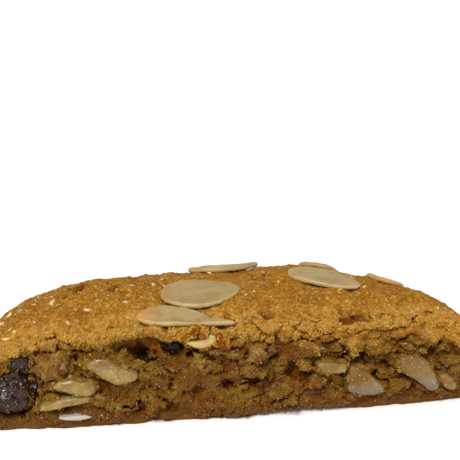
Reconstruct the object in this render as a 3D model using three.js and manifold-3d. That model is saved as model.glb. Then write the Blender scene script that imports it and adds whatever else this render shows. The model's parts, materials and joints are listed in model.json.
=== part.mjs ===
// Half of a thick florentine cookie, torn straight across its middle.
//
// Millimetres, +Z up. The flat base rests on z = 0, the torn face looks along -Y and the
// browned crust runs back from the torn edge to the round rim. Every almond and every
// piece of dried fruit is a body of its own, seated with a small gap in the dough.

import * as THREE from 'three';
import Module from 'manifold-3d';

// Overall size of the half cookie.
const HALF_LENGTH = 54;
const DEPTH = 51;
const RIDGE_HEIGHT = 22.6;
const PLAN_CENTRE_X = 2.5;
const PLAN_POWER = 2.15;
const RIM_POWER = 6.5;
const RIDGE_AT = 15;
const DOME_FALL = 0.14;
const TORN_EDGE_SAG = 4.2;
const SAG_REACH = 9;
const TORN_LINE_Y = -25;

// Fit between the dough and the pieces set into it.
const SEAT_GAP = 0.3;
const SCRAP_VOLUME = 1;

// Flaked almonds: thickness, and the share of the crust's curve that each one follows.
const FLAKE_THICKNESS = 1.15;
const FLAKE_BEND = 0.7;

// Mesh density.
const STATIONS = 88;
const FACE_ROWS = 17;
const CRUST_ROWS = 14;
const BASE_ROWS = 2;

// Broad swellings of the crust: position along the tear, distance behind it, reach, rise.
const SWELLS = [
  { x: -33, v: 19, rx: 13, rv: 12, rise: 1.3 },
  { x: 44, v: 4, rx: 9, rv: 9, rise: 2.1 },
  { x: 6, v: 3, rx: 4, rv: 3, rise: 0.7 },
  { x: 22, v: 30, rx: 14, rv: 10, rise: 0.8 },
  { x: -8, v: 36, rx: 12, rv: 9, rise: -0.7 },
];

// Hollows torn out of the face: centre, half width, half height, depth, turn in degrees.
const HOLLOWS = [
  { x: -13.5, z: 13.7, a: 6.3, b: 2.6, deep: 5.2, turn: -4 },
  { x: -16.4, z: 12.5, a: 3.4, b: 1.2, deep: 3.0, turn: -18 },
  { x: -25.4, z: 13.8, a: 2.4, b: 1.1, deep: 2.2, turn: 18 },
  { x: -28.0, z: 15.6, a: 1.1, b: 1.0, deep: 1.6, turn: 0 },
  { x: -0.1, z: 14.3, a: 2.4, b: 0.9, deep: 2.2, turn: 6 },
  { x: -5.6, z: 12.1, a: 1.7, b: 1.4, deep: 2.4, turn: 20 },
  { x: 10.1, z: 14.3, a: 1.5, b: 0.8, deep: 1.5, turn: -10 },
  { x: 13.3, z: 8.4, a: 2.9, b: 1.5, deep: 4.2, turn: 12 },
  { x: 5.4, z: 6.7, a: 3.0, b: 1.0, deep: 3.2, turn: 8 },
  { x: 0.7, z: 6.0, a: 1.9, b: 1.2, deep: 2.6, turn: 10 },
  { x: 18.6, z: 6.6, a: 2.4, b: 1.1, deep: 2.6, turn: -24 },
  { x: 24.6, z: 10.6, a: 2.6, b: 1.0, deep: 3.0, turn: -16 },
  { x: 30.8, z: 7.6, a: 1.6, b: 1.1, deep: 2.6, turn: -30 },
  { x: 36.0, z: 3.3, a: 1.3, b: 0.8, deep: 1.6, turn: 12 },
  { x: 40.2, z: 10.3, a: 1.3, b: 0.8, deep: 1.8, turn: -20 },
  { x: -14.4, z: 3.9, a: 2.6, b: 0.9, deep: 1.8, turn: 4 },
  { x: -9.6, z: 2.9, a: 1.6, b: 0.8, deep: 1.2, turn: 6 },
  { x: -21.5, z: 7.6, a: 4.0, b: 0.9, deep: 1.6, turn: -14 },
  { x: -29.4, z: 3.7, a: 1.7, b: 0.8, deep: 1.6, turn: 0 },
  { x: -47.0, z: 9.2, a: 2.0, b: 1.1, deep: 1.8, turn: -30 },
  { x: 50.4, z: 6.4, a: 1.9, b: 1.0, deep: 1.8, turn: 30 },
];

// Lobes of moist dough that stand proud of the face.
const LOBES = [
  { x: -31.2, z: 11.3, a: 2.4, b: 2.6, rise: 1.2, turn: -12 },
  { x: -12.7, z: 8.0, a: 2.9, b: 1.9, rise: 0.9, turn: -8 },
  { x: -7.1, z: 8.6, a: 3.0, b: 2.1, rise: 1.3, turn: 24 },
  { x: 4.6, z: 9.0, a: 3.2, b: 1.2, rise: 0.9, turn: -6 },
  { x: 5.8, z: 12.0, a: 2.0, b: 1.0, rise: 0.8, turn: 10 },
  { x: 13.6, z: 5.0, a: 4.2, b: 1.5, rise: 1.3, turn: 28 },
  { x: 22.0, z: 13.6, a: 3.4, b: 1.6, rise: 0.8, turn: -24 },
  { x: 33.5, z: 11.8, a: 4.6, b: 1.7, rise: 0.8, turn: -8 },
  { x: -24.4, z: 12.6, a: 2.3, b: 1.3, rise: 1.0, turn: 30 },
  { x: -36.5, z: 15.0, a: 4.2, b: 1.0, rise: 0.5, turn: 4 },
  { x: 0.6, z: 2.2, a: 8.0, b: 1.8, rise: 0.6, turn: 2 },
  { x: 28.0, z: 1.9, a: 9.0, b: 1.5, rise: 0.6, turn: 1 },
];

// Pits in the crust: position, half sizes in plan, depth.
const CRUST_PITS = [
  { x: 7.8, y: -22.4, a: 1.9, b: 1.6, deep: 1.1 },
  { x: 24.3, y: -22.6, a: 3.4, b: 2.2, deep: 1.3 },
  { x: -27.6, y: -7.0, a: 1.6, b: 2.4, deep: 0.8 },
  { x: -17.4, y: -11.8, a: 2.2, b: 1.5, deep: 0.6 },
  { x: 33.0, y: -8.0, a: 2.4, b: 1.8, deep: 0.9 },
  { x: 12.0, y: 9.5, a: 2.6, b: 1.7, deep: 0.8 },
  { x: -30.0, y: 8.0, a: 2.0, b: 1.6, deep: 0.8 },
];

// Flaked almonds on the crust: centre in plan, half length, half width, turn of the long
// axis, lean of the near edge (degrees down), how far the rim is dished up, height, and for
// a broken one how fast the broken edge runs towards the middle line.
const FLAKES = [
  { name: 'flake_front', x: -7.4, y: -22.7, a: 8.7, b: 2.7, turn: -6, lean: 3, dish: 0.2,
    lift: -0.1, chip: 0.42 },
  { name: 'flake_back', x: -3.5, y: -14.4, a: 7.9, b: 5.4, turn: 9, lean: 3, dish: 0.4, lift: -0.15 },
  { name: 'flake_right', x: 22.5, y: -7.5, a: 8.0, b: 4.7, turn: -38, lean: -2, dish: 0.3, lift: 0.1 },
  { name: 'flake_left', x: -31.0, y: 9.0, a: 7.2, b: 4.3, turn: 36, lean: 2, dish: 0.2, lift: 0.1 },
  { name: 'flake_middle', x: 3.5, y: 4.5, a: 8.3, b: 4.9, turn: 20, lean: -3, dish: 0.4, lift: 0.1 },
  { name: 'flake_rear', x: -13.0, y: 15.0, a: 7.6, b: 4.5, turn: -24, lean: 2, dish: -0.2, lift: 0.15 },
  { name: 'flake_rear_right', x: 27.0, y: 12.0, a: 7.2, b: 4.2, turn: 48, lean: 0, dish: 0.3, lift: 0.15 },
  { name: 'flake_rim_right', x: 38.5, y: 1.5, a: 6.4, b: 4.0, turn: 74, lean: 0, dish: 0.2, lift: 0.1 },
];

// Almonds caught in the torn face: centre, half length, half height, half depth, turn in
// the face, how far the middle sits behind the torn surface, and how blunt the ends are.
const NUTS = [
  { name: 'nut_under_flake', x: -4.6, z: 15.3, a: 3.2, b: 1.2, c: 2.8, turn: 14, back: 1.6, blunt: 2.2 },
  { name: 'nut_wet', x: -20.0, z: 10.4, a: 4.2, b: 1.7, c: 3.4, turn: -15, back: 2.2, blunt: 2.6 },
  { name: 'nut_pale', x: -27.0, z: 7.9, a: 4.0, b: 1.1, c: 3.2, turn: -9, back: 2.0, blunt: 2.1 },
  { name: 'nut_thin', x: -28.6, z: 5.1, a: 4.3, b: 0.8, c: 3.0, turn: 12, back: 2.1, blunt: 2.0 },
  { name: 'nut_sliver', x: -27.0, z: 2.3, a: 2.9, b: 0.62, c: 2.2, turn: -3, back: 1.4, blunt: 2.2 },
  { name: 'nut_bar', x: 19.6, z: 9.0, a: 3.2, b: 1.1, c: 2.8, turn: 2, back: 1.6, blunt: 3.4 },
  { name: 'nut_wedge', x: 26.4, z: 5.7, a: 3.5, b: 2.3, c: 2.6, turn: -22, back: 1.5, blunt: 2.8 },
  { name: 'nut_bean', x: 36.8, z: 6.8, a: 5.1, b: 2.1, c: 2.8, turn: -34, back: 1.6, blunt: 2.4 },
  { name: 'nut_end', x: 43.4, z: 4.4, a: 2.1, b: 1.2, c: 2.2, turn: -40, back: 1.2, blunt: 2.4 },
];

// Dark dried fruit in the torn face: centre, half sizes, turn in the face, set-back.
const FRUIT = [
  { name: 'raisin_large', x: -38.4, z: 6.6, a: 4.9, b: 4.5, c: 4.4, turn: -12, back: 2.8, seed: 11 },
  { name: 'raisin_upper', x: -36.0, z: 12.9, a: 2.1, b: 1.3, c: 2.4, turn: 8, back: 1.3, seed: 23 },
  { name: 'raisin_cave', x: -9.6, z: 13.9, a: 2.1, b: 1.7, c: 2.1, turn: -20, back: 5.4, seed: 37 },
  { name: 'raisin_right', x: 48.2, z: 5.9, a: 2.3, b: 1.7, c: 2.2, turn: 10, back: 1.1, seed: 51 },
];

const wasm = await Module();
wasm.setup();

/** Repeatable value between -1 and 1 for one lattice point. */
function lattice(ix, iy, iz) {
  let h = Math.imul(ix, 374761393) + Math.imul(iy, 668265263) + Math.imul(iz, 2147483647);
  h = Math.imul(h ^ (h >>> 13), 1274126177);
  h ^= h >>> 16;
  return ((h >>> 0) / 4294967295) * 2 - 1;
}

/** Smooth three-dimensional value noise, about -1 to 1. */
function noise(x, y, z) {
  const ix = Math.floor(x);
  const iy = Math.floor(y);
  const iz = Math.floor(z);
  const ease = (t) => t * t * (3 - 2 * t);
  const fx = ease(x - ix);
  const fy = ease(y - iy);
  const fz = ease(z - iz);
  let total = 0;
  for (let corner = 0; corner < 8; corner += 1) {
    const dx = corner & 1;
    const dy = (corner >> 1) & 1;
    const dz = (corner >> 2) & 1;
    const weight = (dx ? fx : 1 - fx) * (dy ? fy : 1 - fy) * (dz ? fz : 1 - fz);
    total += weight * lattice(ix + dx, iy + dy, iz + dz);
  }
  return total;
}

/** Weight of an elliptical patch: 1 in its middle, 0 outside, with a steep edge. */
function patch(dx, dz, shape) {
  const turn = THREE.MathUtils.degToRad(shape.turn ?? 0);
  const u = (dx * Math.cos(turn) + dz * Math.sin(turn)) / shape.a;
  const w = (-dx * Math.sin(turn) + dz * Math.cos(turn)) / shape.b;
  const reach = Math.hypot(u, w);
  return 1 - THREE.MathUtils.smoothstep(reach, 0.35, 1.35);
}

/** Line of the tear in plan. */
function tornLine(x) {
  const sweep = 0.0257 * x + 0.00082 * x * x - 0.0000056 * x * x * x;
  return TORN_LINE_Y + sweep + 0.35 * noise(x / 7, 3.1, 0.5);
}

/** Depth of the cookie behind the tear at one place along it. */
function depthAt(x) {
  const u = Math.abs((x - PLAN_CENTRE_X) / HALF_LENGTH);
  return DEPTH * Math.pow(Math.max(0, 1 - Math.pow(u, PLAN_POWER)), 1 / PLAN_POWER);
}

/** Height of the crust, with v the distance behind the tear. */
function crustHeight(x, v) {
  const u = (x - PLAN_CENTRE_X) / HALF_LENGTH;
  const w = Math.max(0, v) / DEPTH;
  const reach = Math.pow(Math.pow(Math.abs(u), PLAN_POWER) + Math.pow(w, PLAN_POWER), 1 / PLAN_POWER);
  const back = (v - RIDGE_AT) / (DEPTH - RIDGE_AT);
  let z = RIDGE_HEIGHT * (1 - DOME_FALL * (u * u + back * back));
  z -= TORN_EDGE_SAG * Math.exp(-Math.max(0, v) / SAG_REACH);
  for (const s of SWELLS) {
    const du = (x - s.x) / s.rx;
    const dv = (v - s.v) / s.rv;
    z += s.rise * Math.exp(-du * du - dv * dv);
  }
  const y = tornLine(x) + v;
  for (const p of CRUST_PITS) {
    z -= p.deep * patch(x - p.x, y - p.y, p);
  }
  z += 0.28 * noise(x / 6, y / 6, 4.5) + 0.14 * noise(x / 2.7, y / 2.7, 9.5);
  z += 0.4 * noise(x / 1.9, 6.5, 2.5) * Math.exp(-Math.max(0, v) / 1.2);
  return Math.max(0, z * Math.sqrt(Math.max(0, 1 - Math.pow(Math.min(1, reach), RIM_POWER))));
}

/** How far the torn surface lies behind (+) or before (-) the line of the tear. */
function faceRelief(x, z, top) {
  const fade = Math.min(1, Math.max(0, (depthAt(x) - 9) / 8));
  const up = z / top;
  let y = 0.9 * Math.sin(Math.PI * up) - 0.5 * up;
  y += 0.55 * noise(x / 2.6, z / 1.8, 7.3) + 0.6 * noise(x / 6.5, z / 3.2, 1.7);
  for (const h of HOLLOWS) {
    y += h.deep * patch(x - h.x, z - h.z, h);
  }
  for (const l of LOBES) {
    y -= l.rise * patch(x - l.x, z - l.z, l);
  }
  y += 0.9 * Math.pow(Math.max(0, 1 - z / 1.6), 2);
  return y * fade;
}

/** Indexed body from rings of equal length, closed at both ends by a middle point. */
function skin(rings, firstMiddle, lastMiddle) {
  const size = rings[0].length;
  const points = rings.flat();
  const faces = [];
  for (let i = 0; i + 1 < rings.length; i += 1) {
    for (let j = 0; j < size; j += 1) {
      const k = (j + 1) % size;
      const a = i * size + j;
      const b = i * size + k;
      faces.push([a, a + size, b], [b, a + size, b + size]);
    }
  }
  const first = points.length;
  points.push(firstMiddle, lastMiddle);
  const lastRing = (rings.length - 1) * size;
  for (let j = 0; j < size; j += 1) {
    const k = (j + 1) % size;
    faces.push([first, j, k], [first + 1, lastRing + k, lastRing + j]);
  }
  return { points, faces };
}

/** Solid for joining and cutting, from an indexed body. */
function toSolid({ points, faces }) {
  const mesh = new wasm.Mesh({
    numProp: 3,
    vertProperties: new Float32Array(points.flat()),
    triVerts: new Uint32Array(faces.flat()),
  });
  mesh.merge();
  return new wasm.Manifold(mesh);
}

/** Middle point of a ring. */
function middle(ring) {
  const sum = ring.reduce((m, p) => [m[0] + p[0], m[1] + p[1], m[2] + p[2]], [0, 0, 0]);
  return sum.map((s) => s / ring.length);
}

/** The half cookie's dough before anything is set into it. */
function doughBody() {
  const rings = [];
  for (let i = 0; i <= STATIONS; i += 1) {
    const u = (2 * i) / STATIONS - 1;
    const x = PLAN_CENTRE_X + HALF_LENGTH * 0.9985 * (0.72 * u + 0.28 * Math.sin((Math.PI / 2) * u));
    const depth = depthAt(x);
    const line = tornLine(x);
    const top = crustHeight(x, 0);
    const ring = [];
    for (let k = 0; k < FACE_ROWS; k += 1) {
      const z = (top * k) / FACE_ROWS;
      ring.push([x, line + faceRelief(x, z, top), z]);
    }
    const lip = faceRelief(x, top, top);
    for (let k = 0; k < CRUST_ROWS; k += 1) {
      const t = k / CRUST_ROWS;
      const v = lip + (depth - lip) * (0.45 * t + 0.55 * Math.sin((Math.PI / 2) * t));
      ring.push([x, line + v, crustHeight(x, v)]);
    }
    ring.push([x, line + depth, Math.min(0.8, 0.2 * top)]);
    const foot = faceRelief(x, 0, top);
    for (let k = 0; k < BASE_ROWS; k += 1) {
      const v = (depth - 0.6) * (1 - k / BASE_ROWS) + foot * (k / BASE_ROWS);
      ring.push([x, line + v, 0]);
    }
    rings.push(ring);
  }
  return skin(rings, middle(rings[0]), middle(rings[rings.length - 1]));
}

/** Point given by its local coordinates along three axes from a centre. */
function fromAxes([along, across, up], centre, [a, b, c]) {
  return [0, 1, 2].map((i) => centre[i] + along[i] * a + across[i] * b + up[i] * c);
}

/** Puts a body's local points into the object's frame. */
function place(body, axes, centre) {
  return { points: body.points.map((p) => fromAxes(axes, centre, p)), faces: body.faces };
}

/** Axes of a piece caught in the torn face: along its turn, across it, and out of the face. */
function faceAxes(turnDegrees) {
  const turn = THREE.MathUtils.degToRad(turnDegrees);
  return [[Math.cos(turn), 0, Math.sin(turn)], [-Math.sin(turn), 0, Math.cos(turn)], [0, -1, 0]];
}

/** Outline of an almond slice, round at one end and pointed at the other. */
function sliceOutline(angle, a, b) {
  const u = Math.cos(angle);
  const w = Math.sin(angle);
  const waist = 1 - 0.26 * u - 0.16 * u * u;
  const ripple = 1 + 0.05 * noise(2.4 * u + a, 2.4 * w + b, 2.5);
  return [a * Math.sign(u) * Math.pow(Math.abs(u), 0.94) * ripple, b * 1.08 * w * waist * ripple];
}

/** A flaked almond, a thin slice with a cut edge, lying in its own plane. */
function flakeBody(f, grow) {
  const segments = 20;
  const half = FLAKE_THICKNESS / 2 + grow;
  const rings = [];
  const levels = [[0.5, -1], [0.96, -0.9], [1, 0], [0.95, 0.95], [0.5, 1]];
  for (const [scale, side] of levels) {
    const ring = [];
    for (let j = 0; j < segments; j += 1) {
      const angle = (-2 * Math.PI * j) / segments;
      const [x, y] = sliceOutline(angle, f.a, f.b);
      const out = 1 + grow / Math.hypot(x, y);
      const px = x * scale * out;
      const whole = y * scale * out;
      const py = f.chip ? Math.min(whole, f.b * (0.95 * scale - f.chip * (px / f.b)) + grow) : whole;
      const bow = f.dish * ((px / f.a) ** 2 + (py / f.b) ** 2) + 0.12 * noise(px / 3, py / 3, f.a);
      ring.push([px, py, side * half + bow]);
    }
    rings.push(ring);
  }
  return skin(rings, middle(rings[0]), middle(rings[rings.length - 1]));
}

/** Axes of the crust's surface at one place: along the turn, across it, and outward. */
function crustAxes(f) {
  const v = f.y - tornLine(f.x);
  const reach = Math.min(f.a, f.b);
  const east = new THREE.Vector3(2 * reach, 0, crustHeight(f.x + reach, v) - crustHeight(f.x - reach, v));
  const north = new THREE.Vector3(0, 2 * reach, crustHeight(f.x, v + reach) - crustHeight(f.x, v - reach));
  const up = new THREE.Vector3().crossVectors(east, north).normalize();
  up.applyAxisAngle(new THREE.Vector3(1, 0, 0), THREE.MathUtils.degToRad(f.lean));
  const turn = THREE.MathUtils.degToRad(f.turn);
  const along = new THREE.Vector3(Math.cos(turn), Math.sin(turn), 0);
  along.addScaledVector(up, -along.dot(up)).normalize();
  const across = new THREE.Vector3().crossVectors(up, along);
  return [along.toArray(), across.toArray(), up.toArray()];
}

/** A flaked almond set on the crust, which it follows in part. */
function flakeOnCrust(f, grow = 0) {
  const axes = crustAxes(f);
  const centre = [f.x, f.y, crustHeight(f.x, f.y - tornLine(f.x))];
  const body = flakeBody(f, grow);
  const points = body.points.map(([a, b, c]) => {
    const [x, y, z] = fromAxes(axes, centre, [a, b, 0]);
    const under = crustHeight(x, Math.max(1.5, y - tornLine(x)));
    return fromAxes(axes, centre, [a, b, c + f.lift + FLAKE_BEND * (under - z)]);
  });
  return { points, faces: body.faces };
}

/** An almond piece in the torn face, a blunt lens that runs back into the dough. */
function nutInFace(n, grow = 0) {
  const segments = 14;
  const rings = [];
  const levels = [-0.82, -0.3, 0.3, 0.82];
  for (const level of levels) {
    const girth = Math.pow(1 - Math.pow(Math.abs(level), 2.6), 1 / 2.6);
    const ring = [];
    for (let j = 0; j < segments; j += 1) {
      const angle = (-2 * Math.PI * j) / segments;
      const power = 2 / n.blunt;
      const u = Math.sign(Math.cos(angle)) * Math.pow(Math.abs(Math.cos(angle)), power);
      const w = Math.sign(Math.sin(angle)) * Math.pow(Math.abs(Math.sin(angle)), power);
      const taper = 1 - 0.22 * u;
      const knob = 1 + 0.05 * noise(2 * u + n.x, 2 * w + n.z, 2 * level);
      const across = (n.b * taper * knob + grow) * w * girth;
      ring.push([(n.a * knob + grow) * u * girth, across, level * (n.c + grow)]);
    }
    rings.push(ring);
  }
  const body = skin(rings, [0, 0, -(n.c + grow)], [0, 0, n.c + grow]);
  return place(body, faceAxes(n.turn), [n.x, tornLine(n.x) + n.back, n.z]);
}

/** A wrinkled dried fruit in the torn face. */
function fruitInFace(f, grow = 0) {
  const segments = 15;
  const bands = 8;
  const rings = [];
  for (let i = 1; i < bands; i += 1) {
    const polar = (Math.PI * i) / bands;
    const ring = [];
    for (let j = 0; j < segments; j += 1) {
      const angle = (-2 * Math.PI * j) / segments;
      const d = [Math.sin(polar) * Math.cos(angle), Math.sin(polar) * Math.sin(angle), -Math.cos(polar)];
      const fold = 0.07 * Math.sin(5 * angle + 2 * noise(d[0] * 2, d[2] * 2, f.seed));
      const swell = 1 + (fold + 0.1 * noise(d[0] * 1.7 + f.seed, d[1] * 1.7, d[2] * 1.7)) * Math.sin(polar);
      ring.push([d[0] * (f.a * swell + grow), d[1] * (f.b * swell + grow), d[2] * (f.c + grow)]);
    }
    rings.push(ring);
  }
  const body = skin(rings, [0, 0, -(f.c + grow)], [0, 0, f.c + grow]);
  return place(body, faceAxes(f.turn), [f.x, tornLine(f.x) + f.back, f.z]);
}

/** Largest connected body of a solid, without loose scraps. */
function mainBody(solid) {
  const bodies = solid.decompose().filter((b) => b.volume() > SCRAP_VOLUME);
  return bodies.sort((p, q) => q.volume() - p.volume())[0];
}

/** Geometry from a solid. */
function toGeometry(solid) {
  const mesh = solid.getMesh();
  const geometry = new THREE.BufferGeometry();
  geometry.setAttribute('position', new THREE.Float32BufferAttribute(mesh.vertProperties, 3));
  geometry.setIndex(new THREE.BufferAttribute(new Uint32Array(mesh.triVerts), 1));
  geometry.computeVertexNormals();
  return geometry;
}

const DOUGH = new THREE.MeshStandardMaterial({ color: 0xb07a35, roughness: 0.85, metalness: 0 });
const ALMOND_SLICE = new THREE.MeshStandardMaterial({ color: 0xe2cf9d, roughness: 0.55, metalness: 0 });
const ALMOND_PIECE = new THREE.MeshStandardMaterial({ color: 0xd3bb84, roughness: 0.5, metalness: 0 });
const DRIED_FRUIT = new THREE.MeshStandardMaterial({ color: 0x2b1a16, roughness: 0.3, metalness: 0 });

const pieces = [
  ...FLAKES.map((f) => ({ name: f.name, material: ALMOND_SLICE, make: (grow) => flakeOnCrust(f, grow) })),
  ...NUTS.map((n) => ({ name: n.name, material: ALMOND_PIECE, make: (grow) => nutInFace(n, grow) })),
  ...FRUIT.map((f) => ({ name: f.name, material: DRIED_FRUIT, make: (grow) => fruitInFace(f, grow) })),
];

let dough = toSolid(doughBody());
for (const piece of pieces) {
  dough = dough.subtract(toSolid(piece.make(SEAT_GAP)));
}
const solids = [{ name: 'dough', material: DOUGH, solid: mainBody(dough) }];
for (const piece of pieces) {
  solids.push({ name: piece.name, material: piece.material, solid: toSolid(piece.make(0)) });
}

const group = new THREE.Group();
group.name = 'florentine_cookie_half';
const bounds = new THREE.Box3();
for (const { name, material, solid } of solids) {
  const mesh = new THREE.Mesh(toGeometry(solid), material);
  mesh.name = name;
  group.add(mesh);
  mesh.geometry.computeBoundingBox();
  bounds.union(mesh.geometry.boundingBox);
}
const centre = bounds.getCenter(new THREE.Vector3());
for (const mesh of group.children) {
  mesh.geometry.translate(-centre.x, -centre.y, -bounds.min.z);
}

export default group;
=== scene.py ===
"""Dresses the torn half of a thick florentine cookie.

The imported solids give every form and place. The dough is sculpted as a voxel block that
starts from its solid, gets the pores, grains and caves of torn crumb, and is meshed once.
Almonds and dried fruit are modelled over their own solids, crumbs are scattered last.
Lengths are millimetres in the sculpting code and metres in the meshes.
"""

import json
import logging
import math
import time
from contextlib import contextmanager
from dataclasses import dataclass, field
from enum import Enum
from functools import reduce
from itertools import product
from typing import Iterable, Iterator, Sequence

import bpy
import numpy as np
import openvdb
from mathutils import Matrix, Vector

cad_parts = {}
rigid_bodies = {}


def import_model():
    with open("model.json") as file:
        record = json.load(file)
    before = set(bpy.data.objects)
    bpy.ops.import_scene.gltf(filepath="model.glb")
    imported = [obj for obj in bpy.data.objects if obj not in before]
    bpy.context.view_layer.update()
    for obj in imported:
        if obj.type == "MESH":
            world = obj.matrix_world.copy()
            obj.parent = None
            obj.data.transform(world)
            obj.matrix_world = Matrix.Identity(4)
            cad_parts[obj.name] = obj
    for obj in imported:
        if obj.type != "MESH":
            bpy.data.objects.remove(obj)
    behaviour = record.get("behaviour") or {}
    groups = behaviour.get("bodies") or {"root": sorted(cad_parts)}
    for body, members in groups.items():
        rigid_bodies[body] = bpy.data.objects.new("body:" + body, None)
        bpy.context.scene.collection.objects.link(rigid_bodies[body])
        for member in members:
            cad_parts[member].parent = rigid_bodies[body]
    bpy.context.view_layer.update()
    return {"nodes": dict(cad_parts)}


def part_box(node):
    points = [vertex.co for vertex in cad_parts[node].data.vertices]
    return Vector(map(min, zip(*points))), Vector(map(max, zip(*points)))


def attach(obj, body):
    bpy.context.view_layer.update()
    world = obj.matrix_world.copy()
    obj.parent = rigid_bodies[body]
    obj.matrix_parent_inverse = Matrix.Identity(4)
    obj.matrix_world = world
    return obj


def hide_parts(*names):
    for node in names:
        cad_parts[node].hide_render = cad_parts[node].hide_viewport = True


LOG = logging.getLogger("cookie")
START = time.time()
MM = 0.001

# Place of the tear's own axes in the row's frame: the plan's centre, in millimetres.
TEAR_X = -2.5
TEAR_Y = 0.18

# Large odd numbers that scramble the lattice cells of the grain pattern.
SCRAMBLE = (374761393, 668265263, 2246822519, 3266489917)

Array = np.ndarray
Point = tuple[float, float]
Colour = tuple[float, float, float]
Socket = bpy.types.NodeSocket
Thing = bpy.types.Object
Material = bpy.types.Material


def lap(text: str) -> None:
    """Logs how long the script has run."""
    LOG.info("%5.1f s  %s", time.time() - START, text)


# --------------------------------------------------------------------------- small maths


def smooth(low: float, high: float, value: Array) -> Array:
    """Smooth step from 0 at low to 1 at high."""
    t = np.clip((value - low) / (high - low), 0.0, 1.0)
    return t * t * (3.0 - 2.0 * t)


def soft_max(a: Array, b: Array, width: float) -> Array:
    """Larger of two fields, with a rounded corner where they cross."""
    h = np.clip(0.5 + 0.5 * (a - b) / width, 0.0, 1.0)
    return b + (a - b) * h + width * h * (1.0 - h)


def soft_min(a: Array, b: Array, width: float) -> Array:
    """Smaller of two fields, with a rounded corner where they cross."""
    return -soft_max(-a, -b, width)


def turned(x: Array, y: Array, degrees: float) -> tuple[Array, Array]:
    """Coordinates in axes that are turned by an angle."""
    turn = math.radians(degrees)
    return x * math.cos(turn) + y * math.sin(turn), -x * math.sin(turn) + y * math.cos(turn)


def gains(shape: Sequence[int], reach: Sequence[float]) -> list[Array]:
    """Gaussian low-pass gains for a real Fourier transform.

    Args:
        shape: shape of the array to transform.
        reach: the blur's standard deviation along each axis, in cells.

    Returns:
        One array for each axis, shaped to multiply the spectrum.
    """
    out = []
    for axis, sigma in enumerate(reach):
        last = axis == len(shape) - 1
        rate = np.fft.rfftfreq(shape[axis]) if last else np.fft.fftfreq(shape[axis])
        gain = np.exp(-2.0 * (math.pi * sigma * rate) ** 2).astype(np.float32)
        out.append(gain.reshape([-1 if i == axis else 1 for i in range(len(shape))]))
    return out


def blurred(values: Array, reach: Sequence[float]) -> Array:
    """Gaussian blur of an array.

    Args:
        values: the array, of any number of axes.
        reach: the blur's standard deviation along each axis, in cells.

    Returns:
        The blurred array, as 32-bit numbers.
    """
    spectrum = np.fft.rfftn(values)
    for gain in gains(values.shape, reach):
        spectrum *= gain
    return np.fft.irfftn(spectrum, s=values.shape).astype(np.float32)


def cloud(shape: Sequence[int], reach: Sequence[float], seed: int) -> Array:
    """Smooth random field of unit strength.

    Args:
        shape: the field's shape.
        reach: size of its blobs along each axis, in cells.
        seed: picks the pattern.

    Returns:
        The field, whose mean is 0.
    """
    raw = np.random.default_rng(seed).standard_normal(shape, dtype=np.float32)
    spectrum = np.fft.rfftn(raw)
    low = gains(shape, [r / 2.4 for r in reach])
    high = gains(shape, [r / 1.1 for r in reach])
    band, deep = low[0], high[0]
    for a, b in zip(low[1:], high[1:]):
        band = band * a
        deep = deep * b
    spectrum *= band - deep
    out = np.fft.irfftn(spectrum, s=shape).astype(np.float32)
    return out / float(out.std())


def filled_in(values: Array, known: Array, reach: Sequence[float]) -> Array:
    """Spreads known values smoothly over the places where none is known.

    Args:
        values: a map of values.
        known: where they count.
        reach: how far a value spreads along each axis, in cells.

    Returns:
        The map, with the unknown places filled.
    """
    kept = np.where(known, values, 0.0)
    weight = known.astype(np.float32)
    wide = [5.0 * r for r in reach]
    share = blurred(weight, reach)
    near = blurred(kept, reach) / np.maximum(share, 1e-4)
    far = blurred(kept, wide) / np.maximum(blurred(weight, wide), 1e-4)
    blend = smooth(0.02, 0.2, share)
    return np.where(known, values, blend * near + (1.0 - blend) * far).astype(np.float32)


def cell_hash(i: Array, j: Array, k: Array, seed: int) -> Array:
    """Repeatable 32-bit numbers for lattice cells.

    Args:
        i: the cells' first index.
        j: their second index.
        k: their third index.
        seed: picks the pattern.

    Returns:
        One number for each cell.
    """
    first, second, third, fourth = (np.uint32(number) for number in SCRAMBLE)
    h = i.astype(np.uint32) * first + j.astype(np.uint32) * second
    h += k.astype(np.uint32) * third + np.uint32((seed * SCRAMBLE[3]) & 0xFFFFFFFF)
    h = (h ^ (h >> np.uint32(15))) * third
    h = (h ^ (h >> np.uint32(13))) * fourth
    return h ^ (h >> np.uint32(16))


def grains(points: Array, cell: object, seed: int) -> tuple[Array, Array, Array]:
    """Packed round grains.

    Args:
        points: positions in millimetres.
        cell: average size of a grain, one number or one for each axis.
        seed: picks the pattern.

    Returns:
        Rise of the grain at each point, 1 at its middle and below 0 in the creases, the gap
        to the next grain, 0 in the creases, and a value between 0 and 1 for each grain.
    """
    q = (points / np.asarray(cell, np.float32)).astype(np.float32)
    base = np.floor(q).astype(np.int32)
    part = q - base
    nearest = np.full(len(points), 9.0, np.float32)
    second = np.full(len(points), 9.0, np.float32)
    owner = np.zeros(len(points), np.uint32)
    mask, bits = np.uint32(1023), np.float32(1.0 / 1023.0)
    for shift in product((-1, 0, 1), repeat=3):
        h = cell_hash(*(base[:, axis] + shift[axis] for axis in range(3)), seed)
        far = np.zeros(len(points))
        for axis in range(3):
            away = ((h >> np.uint32(10 * axis)) & mask) * bits + (shift[axis] - part[:, axis])
            far += away * away
        second = np.minimum(second, np.maximum(nearest, far))
        closer = far < nearest
        nearest[closer] = far[closer]
        owner[closer] = h[closer]
    tone = ((owner ^ (owner >> np.uint32(7))) & mask) * bits
    return np.clip(1.0 - nearest / 0.7, -0.6, 1.0), np.sqrt(second) - np.sqrt(nearest), tone


# --------------------------------------------------------------------------- mesh helpers


def select_only(obj: Thing) -> None:
    """Makes one object the only selected and active one."""
    for other in bpy.context.view_layer.objects:
        other.select_set(False)
    obj.select_set(True)
    bpy.context.view_layer.objects.active = obj


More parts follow.
